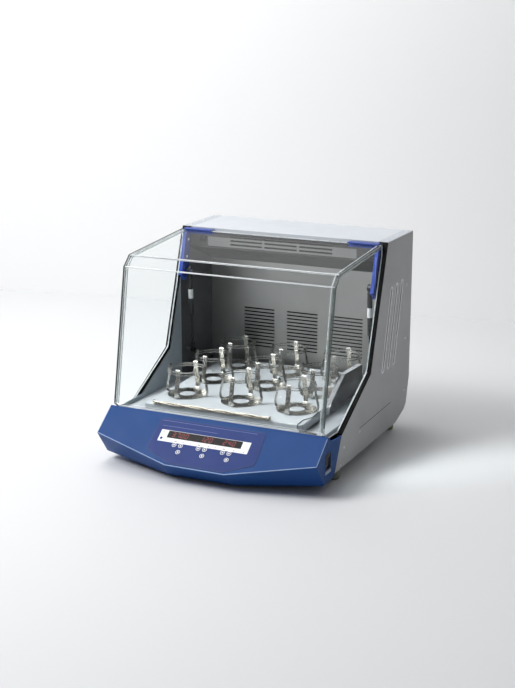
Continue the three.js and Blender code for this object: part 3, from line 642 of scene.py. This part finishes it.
def skin(node, edge=0.4, rounds=(), cuts=(), finish=None):
    """A CAD node with its flat faces merged and its edges rounded, in place of the bare one.
    rounds holds (test of an edge's two ends, width, steps), and cuts planes to split faces along."""
    bm = bmesh.new()
    bm.from_mesh(frame["nodes"][node].data)
    bmesh.ops.remove_doubles(bm, verts=bm.verts, dist=2e-6)
    bmesh.ops.dissolve_limit(bm, angle_limit=math.radians(0.6), verts=bm.verts, edges=bm.edges)
    bmesh.ops.transform(bm, matrix=DESIGN.inverted(), verts=bm.verts)
    for test, width, steps in rounds:
        chosen = [e for e in folded(bm, 0.15) if test(e.verts[0].co, e.verts[1].co)]
        bevel(bm, chosen, width, steps)
    if edge:
        bevel(bm, folded(bm, 0.6), edge, 1)
    for origin, normal in cuts:
        everything = bm.verts[:] + bm.edges[:] + bm.faces[:]
        bmesh.ops.bisect_plane(bm, geom=everything, plane_co=origin, plane_no=normal)
    bmesh.ops.transform(bm, matrix=DESIGN, verts=bm.verts)
    mesh = bpy.data.meshes.new(node)
    bm.to_mesh(mesh)
    bm.free()
    piece = show(node + "_skin", mesh, NODE_BODIES[node], NODE_SLOTS[node], finish, (node,))
    for face in piece.data.polygons:
        face.use_smooth = face.area < LARGE_FACE
    return piece


def folded(bm, least):
    """The edges that turn by more than an angle."""
    return [e for e in bm.edges if len(e.link_faces) == 2 and e.calc_face_angle() > least]


def bevel(bm, edges, width, steps):
    bmesh.ops.bevel(bm, geom=edges, offset=width, segments=steps, affect="EDGES", profile=0.5,
                    clamp_overlap=True)


# ---------- housing ----------
def side_panels():
    for side, sign in SIDES:
        def on_fold(a, b):
            outermost = min(sign * a.x, sign * b.x) > PANEL_X - 0.01
            return outermost and (a - b).length > 40 and on_front_or_roof(a, b)
        panel = skin(f"side_panel_{side}", rounds=[(on_fold, 1.8, 3)])
        # painted light: the up-facing roof flange of each side panel is painted lighter
        paint_faces(panel, "roof_painted_light", lambda middle, normal: middle.z > ROOF_Z - 3 and normal.z > 0.5)
        paint_faces(panel, "dark_line", beside_the_hood)
        rims = [vent_rim(low, high, sign) for low, high in VENTS]
        # painted highlight: the vent rims are painted near white
        piece(f"vent_rims_{side}", rims, "housing", "panel_paint", "rim_highlight")
        baffles = [vent_baffle(low, high, sign) for low, high in VENTS]
        piece(f"vent_baffles_{side}", baffles, "housing", "panel_paint")
        heads = [screw_head((sign, 0, 0), (sign * PANEL_X, y, z), 3.4) for y, z in PANEL_SCREWS]
        # painted glint: the steel screw heads are painted near white
        piece(f"panel_screws_{side}", heads, "housing", "polished_steel", "painted_glint")
        roof = [screw_head(UPWARD, (sign * (PANEL_X - 12), y, ROOF_Z), 2.7) for y in (172, 245, 318)]
        # painted glint: the steel screw heads are painted near white
        piece(f"roof_screws_{side}", roof, "housing", "polished_steel", "painted_glint")
        seam = plate(strip([(-26, 90), (194, 95)], -0.7, 0.7), -0.15, 0.25, side_on(sign * PANEL_X), edge=0.1)
        piece(f"panel_seam_{side}", seam, "housing", "panel_paint", "dark_line")


def on_front_or_roof(a, b):
    """An edge of the fold along the opening, or of the fold into the roof."""
    along_roof = min(a.z, b.z) > ROOF_Z - 0.1
    along_opening = all(p.y < 148.1 and p.z > 107.9 for p in (a, b))
    return along_roof or along_opening


def beside_the_hood(middle, normal):
    """The rounded fold of a side panel that faces the hood."""
    return abs(normal.x) < 0.93 and normal.y < -0.2 and middle.y < 148 and middle.z > 108


def vent_rim(low, high, sign):
    half = VENT_WIDTH / 2
    place = side_on(sign * PANEL_X)
    heights = (-0.4, 0.6) if sign > 0 else (-0.6, 0.4)
    return plate(stadium(low, high, half + 2.8), *heights, place, [stadium(low, high, half - 1.8)], 0.3)


def vent_baffle(low, high, sign):
    """A pressed tongue close behind each vent."""
    place = side_on(sign * (PANEL_X - 2.4))
    return plate(stadium(low, high, VENT_WIDTH / 2 + 2), -0.6, 0.6, place)


def roof_and_base():
    skin("top_cover", 0.8, finish="cover_paint")
    skin("base_plate")


def rear_side():
    skin("rear_panel", 0.5)
    inlet()
    plaque = plate(rounded(rectangle(-60, 60, 230, 290), 3), -0.5, -0.1, front_on(REAR_Y), edge=0.15)
    piece("rating_plate", plaque, "housing", "polished_steel", "label_white")
    lips = [louvre_lip(-70, 70, 415 + row * 12, REAR_Y) for row in range(6)]
    piece("rear_louvres", lips, "housing", "panel_paint")
    heads = [screw_head(REARWARD, (x, REAR_Y, z), 2.7) for x in (-272, 272) for z in (150, 320, 500)]
    # painted glint: the steel screw heads are painted near white
    piece("rear_screws", heads, "housing", "polished_steel", "painted_glint")


def inlet():
    """The mains inlet with its pins and flange, and the fuse holder beside it."""
    skin("power_inlet", 0.8)
    x, z = INLET
    pins = []
    for dx, dz, width, height in ((-7, -2, 2, 4), (7, -2, 2, 4), (0, 2.5, 4, 2)):
        blade = around(x + dx, z + dz, width / 2, height / 2)
        pins.append(plate(rounded(blade, 0.6), 0, 13, front_on(331), edge=0.5))
    piece("inlet_pins", pins, "housing", "machined_steel", "brass")
    flange = rounded(around(x, z, 31, 19), 5)
    hole = rounded(around(x, z, 14, 10), 3)
    flange_plate = plate(flange, -1.8, -0.2, front_on(REAR_Y), [hole], 0.5)
    piece("inlet_flange", flange_plate, "housing", "black_plastic")
    profile = [(0, 3.5), (3, 3.5), (3.4, 4.6), (7, 4.4), (8, 3), (8, 0.1), (0, 0.1)]
    holder = turned(profile, turn_about(REARWARD, (x + 52, REAR_Y, z)), 24)
    piece("fuse_holder", holder, "housing", "black_plastic")


def louvre_lip(x0, x1, z, y):
    """A pressed hood that leans out over the top of a slot in the rear panel."""
    outer = [(0.1, 0.6), (2.6, -1.2), (3.2, -3.4)]
    inner = [(2.5, -3.4), (2.0, -1.7), (0.1, -0.3)]
    profile = [(y + dy, z + dz) for dy, dz in outer + inner]
    return plate(profile, x0, x1, side_on(), edge=0.1)


def feet():
    profile = [(0, 0), (13, 0), (15.2, 3), (15.8, 9), (13.6, 20), (13.6, 26.6), (0, 26.6)]
    for end, (x, y) in FOOT_PLACES.items():
        for side, sign in SIDES:
            name = f"foot_{end}_{side}"
            place = Matrix.Translation((sign * x, y, 0))
            shape = turned(rounded(profile, 1.6, 3, False), place)
            finish = "foot_rear" if end == "rear" else "foot_rubber"
            piece(name + "_turned", shape, "housing", "foot_rubber", finish, (name,))


# ---------- chamber ----------
def chamber():
    skin("chamber_floor", 0.5, finish="floor_paint")
    skin("air_grille", 0)
    skin("upper_duct", 0, finish="duct_steel")
    for side, sign in SIDES:
        # painted shade: behind the jamb the side walls are painted near black for the shade there; the jamb
        # in front keeps its own paint
        wall = skin(f"chamber_wall_{side}", 0.3, cuts=[((0, JAMB_Y, 0), (0, 1, 0))], finish="chamber_shade")
        paint_faces(wall, "jamb_paint", lambda middle, normal: middle.y < JAMB_Y)
        skin(f"door_gasket_{side}", 1.6)
        bead = [(sign * (CHAMBER_X - 0.4), JAMB_Y, z) for z in (128, 490)]
        piece(f"jamb_bead_{side}", wire(bead, 0.6), "housing", "chamber_steel", "jamb_paint")
    shade_behind_grille()
    duct_front()
    duct_shade_and_roof_seal()
    sill_fittings()


def shade_behind_grille():
    """A black sheet close behind the slots of the rear wall: painted shade, standing in for the dark space
    behind them.
    """
    dark_sheet = [plate(rectangle(x - 49, x + 49, 172, 288), 0, 0.8, front_on(GRILLE_Y), edge=0.3)
             for x in GRILLE_COLUMNS]
    # painted shade: the black sheet darkens the grille's slots
    piece("grille_shade_sheet", dark_sheet, "housing", "black_plastic", "dark_line")


def duct_front():
    """The plate over the duct's slots and the ring in its sensor port."""
    slots = [rounded(around(x, z, 46, 2.25), 2) for x in DUCT_SLOT_COLUMNS for z in DUCT_SLOT_ROWS]
    outline = rounded(rectangle(-215, 203, 470, 494), 1.5)
    strip_plate = plate(outline, 0.1, 0.9, front_on(DUCT_Y), slots, 0.1)
    piece("duct_plate", strip_plate, "housing", "chamber_steel", "duct_plate")
    port = turn_about(FRONTWARD, SENSOR_PORT)
    grommet = turned([(6, 0.1), (9.5, 0.1), (9.5, 1), (8.6, 1.8), (7, 1.8), (6, 1)], port, 32)
    piece("sensor_grommet", grommet, "housing", "seal_rubber")
    dark_sheet = turned([(0, -1.4), (7.6, -1.4), (7.6, -0.6), (0, -0.6)], port, 32)
    piece("sensor_gauze", dark_sheet, "housing", "black_plastic", "dark_line")


def duct_shade_and_roof_seal():
    """A black sheet behind the slots of the duct, painted shade that stands in for the dark inside it, and a
    seal along the rear of the hood.
    """
    slot_shade = plate(rectangle(-160, 150, 469, 497), -6, -3, front_on(DUCT_Y), edge=0.4)
    # painted shade: the black sheet darkens the duct's slots
    piece("duct_shade_sheet", slot_shade, "housing", "black_plastic", "dark_line")
    profile = rounded(rectangle(146.8, 153.5, 502.5, 507), 1.2)
    seal = plate(profile, -250, 250, side_on(), edge=0.3)
    piece("roof_seal", seal, "housing", "seal_rubber")


def sill_fittings():
    """A latch plate let into the sill, in its black frame."""
    outline = rounded(rectangle(213, 258, -227.5, -219.5), 1)
    inside = rounded(rectangle(215, 256, -226, -221), 0.6)
    sill = flat_on(SILL_Z)
    piece("sill_latch_frame", plate(outline, 0.05, 0.5, sill, [inside], 0.1), "housing", "black_plastic")
    piece("sill_latch", plate(inside, 0.05, 0.4, sill, edge=0.1), "housing", "polished_steel")


# ---------- console ----------
def console():
    def on_outside(p):
        return abs(p.x) > HOUSING_X - 0.5 or p.y < -344.5 or p.z < 8

    def on_fold(a, b):
        return on_outside(a) and on_outside(b) and (a - b).length > 45
    skin("console_housing", 0.4, [(on_fold, 3, 4)])
    crease_highlight_beads()
    control_film()
    display()
    keys()
    rocker_and_label()


def control_film():
    """The printed film with its border, its two lines and the holes for the window and the keys."""
    corners = [(-138, -16), (-142, -106), (-72, -138), (72, -138), (142, -106), (138, -16)]
    film = rounded(corners, [6, 8, 20, 20, 8, 6])
    holes = [circle(KEY_RADIUS + 0.5, key_place(*key)) for key in KEYS]
    window = rounded(rectangle(-104.4, 92.4, -68.9, -48.1), 1)
    sheet = plate(film, 0.25, 0.95, on_slope(), [window, *holes], 0.15)
    piece("control_film", sheet, "housing", "panel_film", stands_for=("control_panel",))
    border = plate(strip(loop(film), -0.5, 0.3), 0.9, 1.05, on_slope(), edge=0.03)
    piece("film_border", border, "housing", "panel_film", "film_dark")
    lines = [plate(rectangle(x0, x1, -s - 0.3, -s + 0.3), 0.9, 1.08, on_slope(), edge=0.03)
             for x0, x1, s in ((-134, 118, 21.5), (-128, 20, 36))]
    piece("film_lines", lines, "housing", "panel_film", "print_pale")


def crease_highlight_beads():
    """Thin beads along the console's crease and the sides of its slope, painted pale as a highlight."""
    end, middle = on_slope_line(CREASE_END_Y), on_slope_line(CREASE_MIDDLE_Y)
    x = HOUSING_X - 1
    beads = [wire([(-x, *end), (-CREASE_MIDDLE_X, *middle), (CREASE_MIDDLE_X, *middle), (x, *end)], 1.2)]
    for x in (-HOUSING_X + 0.6, HOUSING_X - 0.6):
        beads.append(wire([(x, *on_slope_line(-235)), (x, *end)], 0.9))
    piece("console_highlight_beads", beads, "housing", "console_paint", "console_highlight")


def on_slope_line(y):
    """The (y, z) point of the console's slope at one y."""
    return y, SLOPE_TOP[2] - (SLOPE_TOP[1] - y) * math.tan(SLOPE)


def loop(points):
    """The same outline as a closed polyline that overlaps itself by one step."""
    return list(points) + [points[0]]


def key_place(i, action):
    dx, down = KEY_PLACES[action]
    return (PANEL_CENTRE_X + (i - 1) * 64 + dx, -down)


def display():
    """The white frame, the dark window with its figures, and the small marks round it."""
    window = rounded(rectangle(-104, 92, -68.5, -48.5), 0.8)
    outline = rounded(rectangle(-124.5, 113, -80.5, -47.5), 1.5)
    opening = rounded(rectangle(-104.2, 92.2, -68.7, -48.3), 0.8)
    frame_plate = plate(outline, 0.98, 1.25, on_slope(), [opening], 0.06)
    piece("display_frame", frame_plate, "housing", "panel_film", "print_white")
    piece("display_filter", plate(window, 0.3, 1.35, on_slope(), edge=0.15), "housing", "display_black",
          stands_for=("display_window",))
    digits = []
    for text, x in (("37.00", -92), ("120", -16), ("240", 44)):
        digits += number(text, x, -64.5)
    piece("display_digits", digits, "housing", "display_black", "digit_red")
    ticks = [plate(around(x, -75.5, 0.35, 3.5), 1.2, 1.3, on_slope(), edge=0.02) for x in (-37, 29)]
    bars = [plate(around(x, -76.5, width / 2, 0.7), 1.2, 1.3, on_slope(), edge=0.02)
            for x, width in ((-76, 7), (-56, 3), (-14, 7), (12, 3), (52, 7), (78, 3), (103, 3))]
    piece("frame_marks", ticks + bars, "housing", "panel_film", "film_dark")
    dot = plate(circle(3.6, (-117, -72)), 1.2, 1.5, on_slope(), edge=0.1)
    piece("frame_dot", dot, "housing", "panel_film")
    small = [plate(circle(1.1, (-117, v)), 1.2, 1.45, on_slope(), edge=0.1) for v in (-54, -61)]
    piece("frame_lamps", small, "housing", "panel_film", "film_dark")


SEGMENTS = {"0": "abcdef", "1": "bc", "2": "abged", "3": "abgcd", "4": "fgbc", "5": "afgcd", "6": "afgedc",
            "7": "abc", "8": "abcdefg", "9": "abcdfg"}
BARS = {"a": ((0, 2), (1, 2)), "b": ((1, 1), (1, 2)), "c": ((1, 0), (1, 1)), "d": ((0, 0), (1, 0)),
        "e": ((0, 0), (0, 1)), "f": ((0, 1), (0, 2)), "g": ((0, 1), (1, 1))}


def number(text, x, v):
    """Seven-bar figures, leaning a little, from a left end and a base line on the slope."""
    meshes = []
    for character in text:
        if character == ".":
            meshes.append(plate(circle(0.9, (x - 2.4, v + 0.2), 12), 1.3, 1.42, on_slope(), edge=0.02))
            continue
        for bar in SEGMENTS[character]:
            ends = [Vector((x + 6.2 * a + 0.9 * b, v + 6.2 * b)) for a, b in BARS[bar]]
            along = (ends[1] - ends[0]).normalized()
            shape = stadium(ends[0] + along * 1.15, ends[1] - along * 1.15, 0.75, 2)
            meshes.append(plate(shape, 1.3, 1.42, on_slope(), edge=0.02))
        x += 11.5
    return meshes


def keys():
    for i, action in KEYS:
        node = f"key_{KEY_GROUPS[i]}_{action}"
        u, v = key_place(i, action)
        place = on_slope() @ Matrix.Translation((u, v, 0))
        r = KEY_RADIUS
        profile = rounded([(0, -2.4), (r, -2.4), (r, 1.1), (0, 1.25)], [0, 0.3, 0.6, 0], 3, False)
        piece(node + "_cap", turned(profile, place, 32), node, NODE_SLOTS[node], stands_for=(node,))
        ring = plate(circle(r - 0.2), 1.05, 1.25, place, [circle(r - 1.5)], 0.03)
        mark = plate(key_mark(action), 1.1, 1.35, place, edge=0.03)
        piece(node + "_mark", [ring, mark], node, NODE_SLOTS[node], "print_white")


def key_mark(action):
    triangle = [(-2.8, -1.7), (2.8, -1.7), (0, 3.0)]
    if action == "down":
        return [(-u, -v) for u, v in triangle]
    return circle(2.3) if action == "set" else triangle


def rocker_and_label():
    """The power rocker in its bezel, and a blank label under it."""
    skin("power_rocker", 1.0)
    face = side_on(HOUSING_X)
    y, z = ROCKER_PLACE
    bezel = plate(rounded(around(y, z, 15.5, 19.5), 3), -0.5, 1.2, face,
                  [rounded(around(y, z, 12.9, 16.8), 1.5)], 0.5)
    piece("rocker_bezel", bezel, "housing", "black_plastic")
    tag = plate(rounded(rectangle(-246, -213, 42.5, 50.5), 0.8), 0.02, 0.35, face, edge=0.1)
    piece("switch_tag", tag, "housing", "polished_steel", "tag_pale")


# ---------- hood ----------
def hood():
    """A bent front sheet with a pane glued in at each side."""
    line = rounded(HOOD_LINE, [0, 7, 7, 0], 6, False)
    sheet = plate(strip(line, 0.05, 4), -275.8, 275.8, side_on(), edge=0.35)
    bent = piece("hood_front_sheet", sheet, "hood", "clear_sheet", stands_for=("hood",))
    # painted highlight: the bends across the hood are painted pale
    paint_faces(bent, "bend_highlight", in_a_bend)
    # painted highlight: the cut edges of the bent sheet are painted pale
    paint_faces(bent, "sheet_rim_highlight", lambda middle, normal: middle.z < 140.5 or middle.y > 128.5)
    rear_edge = moved_sideways(OPENING, -7)
    foot = [(-233, 137), (-228, 135), (-208, 119), (-149, 116.5)]
    corners = [*HOOD_LINE[:3], *foot, rear_edge[1], point_at_height(rear_edge, 488)]
    outline = rounded(corners, [2, 7, 7, 2, 1, 6, 4, 30, 4], 6)
    for side, sign in SIDES:
        pane = piece(f"hood_side_pane_{side}", plate(outline, -2, 2, side_on(sign * 278), edge=1.6, steps=2),
                     "hood", "clear_sheet")
        # painted highlight: the cut rims of each side pane are painted pale
        paint_faces(pane, "sheet_rim_highlight", lambda middle, normal: abs(normal.x) < 0.97)
        # painted shade: the pane's rim along the bent sheet is painted dark
        paint_faces(pane, "edge_shade", shaded_rim)
        hood_lines(side, sign, line, rear_edge[1])


def hood_lines(side, sign, line, rear_corner):
    """The pale line round a pane's foot, and at the glued corner a line of painted shade, a clear bead and a
    painted glint.
    """
    foot = [(-232, 150), (-232, 137), (-208, 120), (-149, 117.5), rear_corner]
    path = [(sign * 279.4, y, z) for y, z in foot]
    piece(f"hood_foot_line_{side}", wire(path, 1.2), "hood", "clear_sheet", "label_white")
    for name, x, depth, radius, finish in (("corner", 279.2, 1, 1.3, "edge_shade"),
                                           ("bead", 273.5, 6.5, 3.8, "clear_bead"),
                                           ("glint", 268.5, 1.2, 1.1, "sheet_rim_highlight")):
        path = [(sign * x, y, z) for y, z in moved_sideways(line, depth)]
        piece(f"hood_{name}_{side}", wire(path, radius, sides=4), "hood", "clear_sheet", finish)


def shaded_rim(middle, normal):
    """The rim of a side pane along the bent sheet, painted dark as shade."""
    on_rim = abs(normal.x) < 0.97 and (normal.y < -0.25 or normal.z > 0.25)
    return on_rim and middle.z > 136 and middle.y < 128


def in_a_bend(middle, normal):
    """The two bends that run across the hood, found by the way their faces look."""
    lean = math.degrees(math.atan2(abs(normal.z), abs(normal.y)))
    return abs(normal.x) < 0.5 and (50 < lean < 84 or 13 < lean < 44)


def point_at_height(points, z):
    """Where a (y, z) polyline reaches a height."""
    for a, b in zip(points, points[1:]):
        if (a.y - z) * (b.y - z) <= 0:
            return a + (b - a) * ((z - a.y) / (b.y - a.y))
    return points[0]


def brackets_and_struts():
    """The hood's corner brackets with their screws, and a gas strut at each side."""
    for side, sign in SIDES:
        skin(f"hood_bracket_{side}", 1.4)
        arm = [screw_head((-sign, 0, 0), (sign * 262, y, z), 3.4) for y, z in ((132, 486), (122, 442))]
        # painted glint: the steel screw heads are painted near white
        piece(f"bracket_screws_{side}", arm, "hood", "polished_steel", "painted_glint")
        head = screw_head((-sign, 0, 0), (sign * 247, *STRUT_TOP), 3.6)
        stud = [ball(4.4, (sign * 259.3, *STRUT_TOP)), head]
        piece(f"strut_stud_{side}", stud, "hood", "polished_steel")
        strut(side, sign)


def strut(side, sign):
    """A gas strut: the cylinder hangs from the hood's stud, and the rod runs into it from the housing."""
    top = Vector((sign * STRUT_X, *STRUT_TOP))
    low = Vector((sign * STRUT_X, *STRUT_ANCHOR))
    down = turn_about(low - top, top)
    length = (low - top).length
    shell = [(0, 11), (5.7, 11), (6.5, 14), (6.5, 122), (5.2, 124), (3.6, 124), (3.6, 20), (0, 20)]
    tube = turned(rounded(shell, [0, 0.8, 1, 0.8, 0.5, 0, 0, 0], 3, False), down)
    socket = eyelet(top, 5, 9, 0.8)
    neck = turned([(0, 7), (4.5, 7), (4.5, 12.5), (0, 12.5)], down)
    cylinder = f"strut_cylinder_{side}"
    piece(cylinder + "_body", [tube, socket, neck], cylinder, "black_plastic", stands_for=(cylinder,))
    sleeve = turned(rounded([(6.52, 51), (6.7, 51), (6.7, 76), (6.52, 76)], 0.05, 2), down)
    piece(f"strut_label_{side}", sleeve, cylinder, "black_plastic", "label_white")
    stem = [(0, 24), (3, 24), (3, length - 9), (0, length - 9)]
    rod = turned(rounded(stem, [0, 0.4, 0.4, 0], 3, False), down)
    nut = turned([(r, length - h) for r, h in ((3.1, 22), (5.5, 22), (5.5, 10), (3.1, 10))], down, 6)
    eye = eyelet(low, 5.1, 7.6, 0.6)
    shank = turned([(0, length - 11), (3.6, length - 11), (3.6, length - 6.8), (0, length - 6.8)], down)
    rod_node = f"strut_rod_{side}"
    piece(rod_node + "_bright", [rod, nut, eye, shank], rod_node, "polished_steel", "black_rod", (rod_node,))


def eyelet(centre, inner, outer, corner):
    """A ring about a strut's cross pin."""
    profile = [(inner, -5), (outer, -5), (outer, 5), (inner, 5)]
    return turned(rounded(profile, corner, 3), placed((0, 1, 0), (0, 0, 1), centre))


# ---------- platform ----------
def platform():
    """The tray on its carrier, with its guard plate, bar, clip, screws and nine clamps."""
    def upright_corner(a, b):
        outside = all(abs(p.x) > 211.9 and (p.y < -202.9 or p.y > 254.9) for p in (a, b))
        return outside and abs(a.z - b.z) > 5

    def top_edge(a, b):
        return min(a.z, b.z) > TRAY_TOP - 0.05
    skin("platform", 0, [(upright_corner, 9, 6), (top_edge, 2.0, 4)])
    guard = skin("side_guard", 0.5, finish="guard_steel")
    # painted light: the guard's up-facing lip is painted paler than its sides
    paint_faces(guard, "guard_top_painted_light", lambda middle, normal: normal.z > 0.9)
    # painted highlight: the guard's front edge is painted near white
    paint_faces(guard, "painted_glint", lambda middle, normal: normal.y < -0.55)
    skin("platform_carrier", 0.8)
    places = [(x, y, TRAY_TOP) for x in (-196, -75, 75, 196) for y in (-20.5, 124.5)]
    screws = [screw_head(UPWARD, place, 3) for place in places]
    # painted glint: the steel screw heads are painted near white
    piece("tray_screws", screws, "platform", "polished_steel", "painted_glint")
    twisted_bar()
    on_tray = [(209.5, -62), (209.5, -98), (210, -140), (199, -166), (200.5, -200)]
    over_the_edge = [(200.5, -204.2, 139.4), (200.5, -204.4, 131)]
    clip = [(x, y, TRAY_TOP + 0.9) for x, y in on_tray] + over_the_edge
    piece("tray_clip", wire(clip, 0.9), "platform", "black_plastic")
    for row, y in CLAMP_ROWS.items():
        for column, x in CLAMP_COLUMNS.items():
            flask_clamp(f"flask_clamp_{row}_{column}", x, y)


def twisted_bar():
    """Three wires twisted together, with an eye at each end that is fixed to the tray."""
    x0, x1 = -186, 131
    y, z = -204, 145.5
    turns, steps = 1.5, 90
    strands = []
    for phase in (0, math.pi * 2 / 3, math.pi * 4 / 3):
        path = []
        for k in range(steps + 1):
            turn = phase + 2 * math.pi * turns * k / steps
            x = x0 + 3 + (x1 - x0 - 6) * k / steps
            path.append((x, y + 2.7 * math.cos(turn), z + 2.7 * math.sin(turn)))
        strands.append(wire(path, 2.1, sides=3))
    corners = [(-1, -5.2), (13.5, -5.2), (13.5, -3.5), (4, 1), (-1, 1)]
    tab = rounded([(y + dy, z + dz) for dy, dz in corners], 0.4)
    lugs = [plate(tab, x, x + 4.5, side_on(), edge=0.3) for x in (x0 + 4.5, x1 - 9)]
    hooks = []
    for x, sign in ((x0 + 2, -1), (x1 - 2, 1)):
        hooks.append(wire([(x, y, z), (x + sign * 1.5, y - 1, z + 2), (x + sign * 1.5, y + 4, z + 4),
                           (x - sign, y + 6.5, z + 2.5)], 1.1))
    piece("twisted_bar", strands + lugs + hooks, "platform", "polished_steel", "bright_wire",
          ("retaining_bar",))


def flask_clamp(name, x, y):
    """Spring flask clamp: a base ring, four bowed strips, and two wires that tie them together."""
    base = TRAY_TOP + 0.3
    middle = Matrix.Translation((x, y, base))
    parts = [plate(circle(50, segments=64), 0, 1.2, middle, [circle(20, segments=48)], 0.3)]
    bow = rounded([(36, 1.7), (55, 1.7), (57, 14), (44.6, 70), (48, 73)], [0, 5, 12, 4, 0], 5, False)
    for quarter in range(4):
        turn = middle @ Matrix.Rotation(math.pi / 2 * quarter, 4, "Z")
        parts.append(plate(strip(bow, -0.45, 0.45), -6, 6, turn @ placed((1, 0, 0), (0, 0, 1)), edge=0.25))
        parts.append(screw_head(UPWARD, turn @ Vector((40, 0, 1.9)), 2.6))
    for height, radius in ((60.5, 47.6), (66.5, 46.4)):
        ring = [(x + u, y + v, base + height) for u, v in circle(radius, segments=56)]
        parts.append(wire(ring, 1.25, True))
    piece(name + "_spring", parts, "platform", "clamp_steel", stands_for=(name,))


# ---------- drive and air system ----------
def drive():
    """The drive and air nodes, with the bearings, bolts and fan motor that only show here."""
    for node in ("crank_shaft", "drive_pulley", "drive_frame", "drive_motor", "motor_pulley", "drive_belt",
                 "guide_crank_left", "guide_crank_right", "fan_impeller", "heater_element"):
        skin(node, 0.6)
    bearings = [bearing(0, 36, 96.5, 10.4, 20)] + [bearing(sx * 120, 96, 97.5, 6.4, 13) for sx in (-1, 1)]
    piece("drive_bearings", bearings, "housing", "machined_steel")
    bolts = [hexagon_bolt(UPWARD, (x, y, 72)) for x in (-145, 175) for y in (-115, 125)]
    piece("frame_bolts", bolts, "housing", "machined_steel")
    motor = turn_about(REARWARD, (0, 323.5, 228))
    fan_motor = turned(rounded([(0, 0), (26, 0), (26, 8.5), (0, 8.5)], [0, 1, 1, 0], 3, False), motor)
    piece("fan_motor", fan_motor, "housing", "black_plastic")


def bearing(x, y, top, inner, outer):
    profile = rounded([(inner, 0.02), (outer, 0.02), (outer, 0.3), (inner, 0.3)], 0.1, 2)
    return turned(profile, Matrix.Translation((x, y, top)), 40)


def hexagon_bolt(direction, origin):
    return turned([(0, 5.5), (6.4, 5.5), (7.2, 4.8), (7.2, 0), (0, 0)], turn_about(direction, origin), 6)


make_camera()
make_studio()
MATERIALS = make_materials()
side_panels()
roof_and_base()
rear_side()
feet()
chamber()
console()
hood()
brackets_and_struts()
platform()
drive()
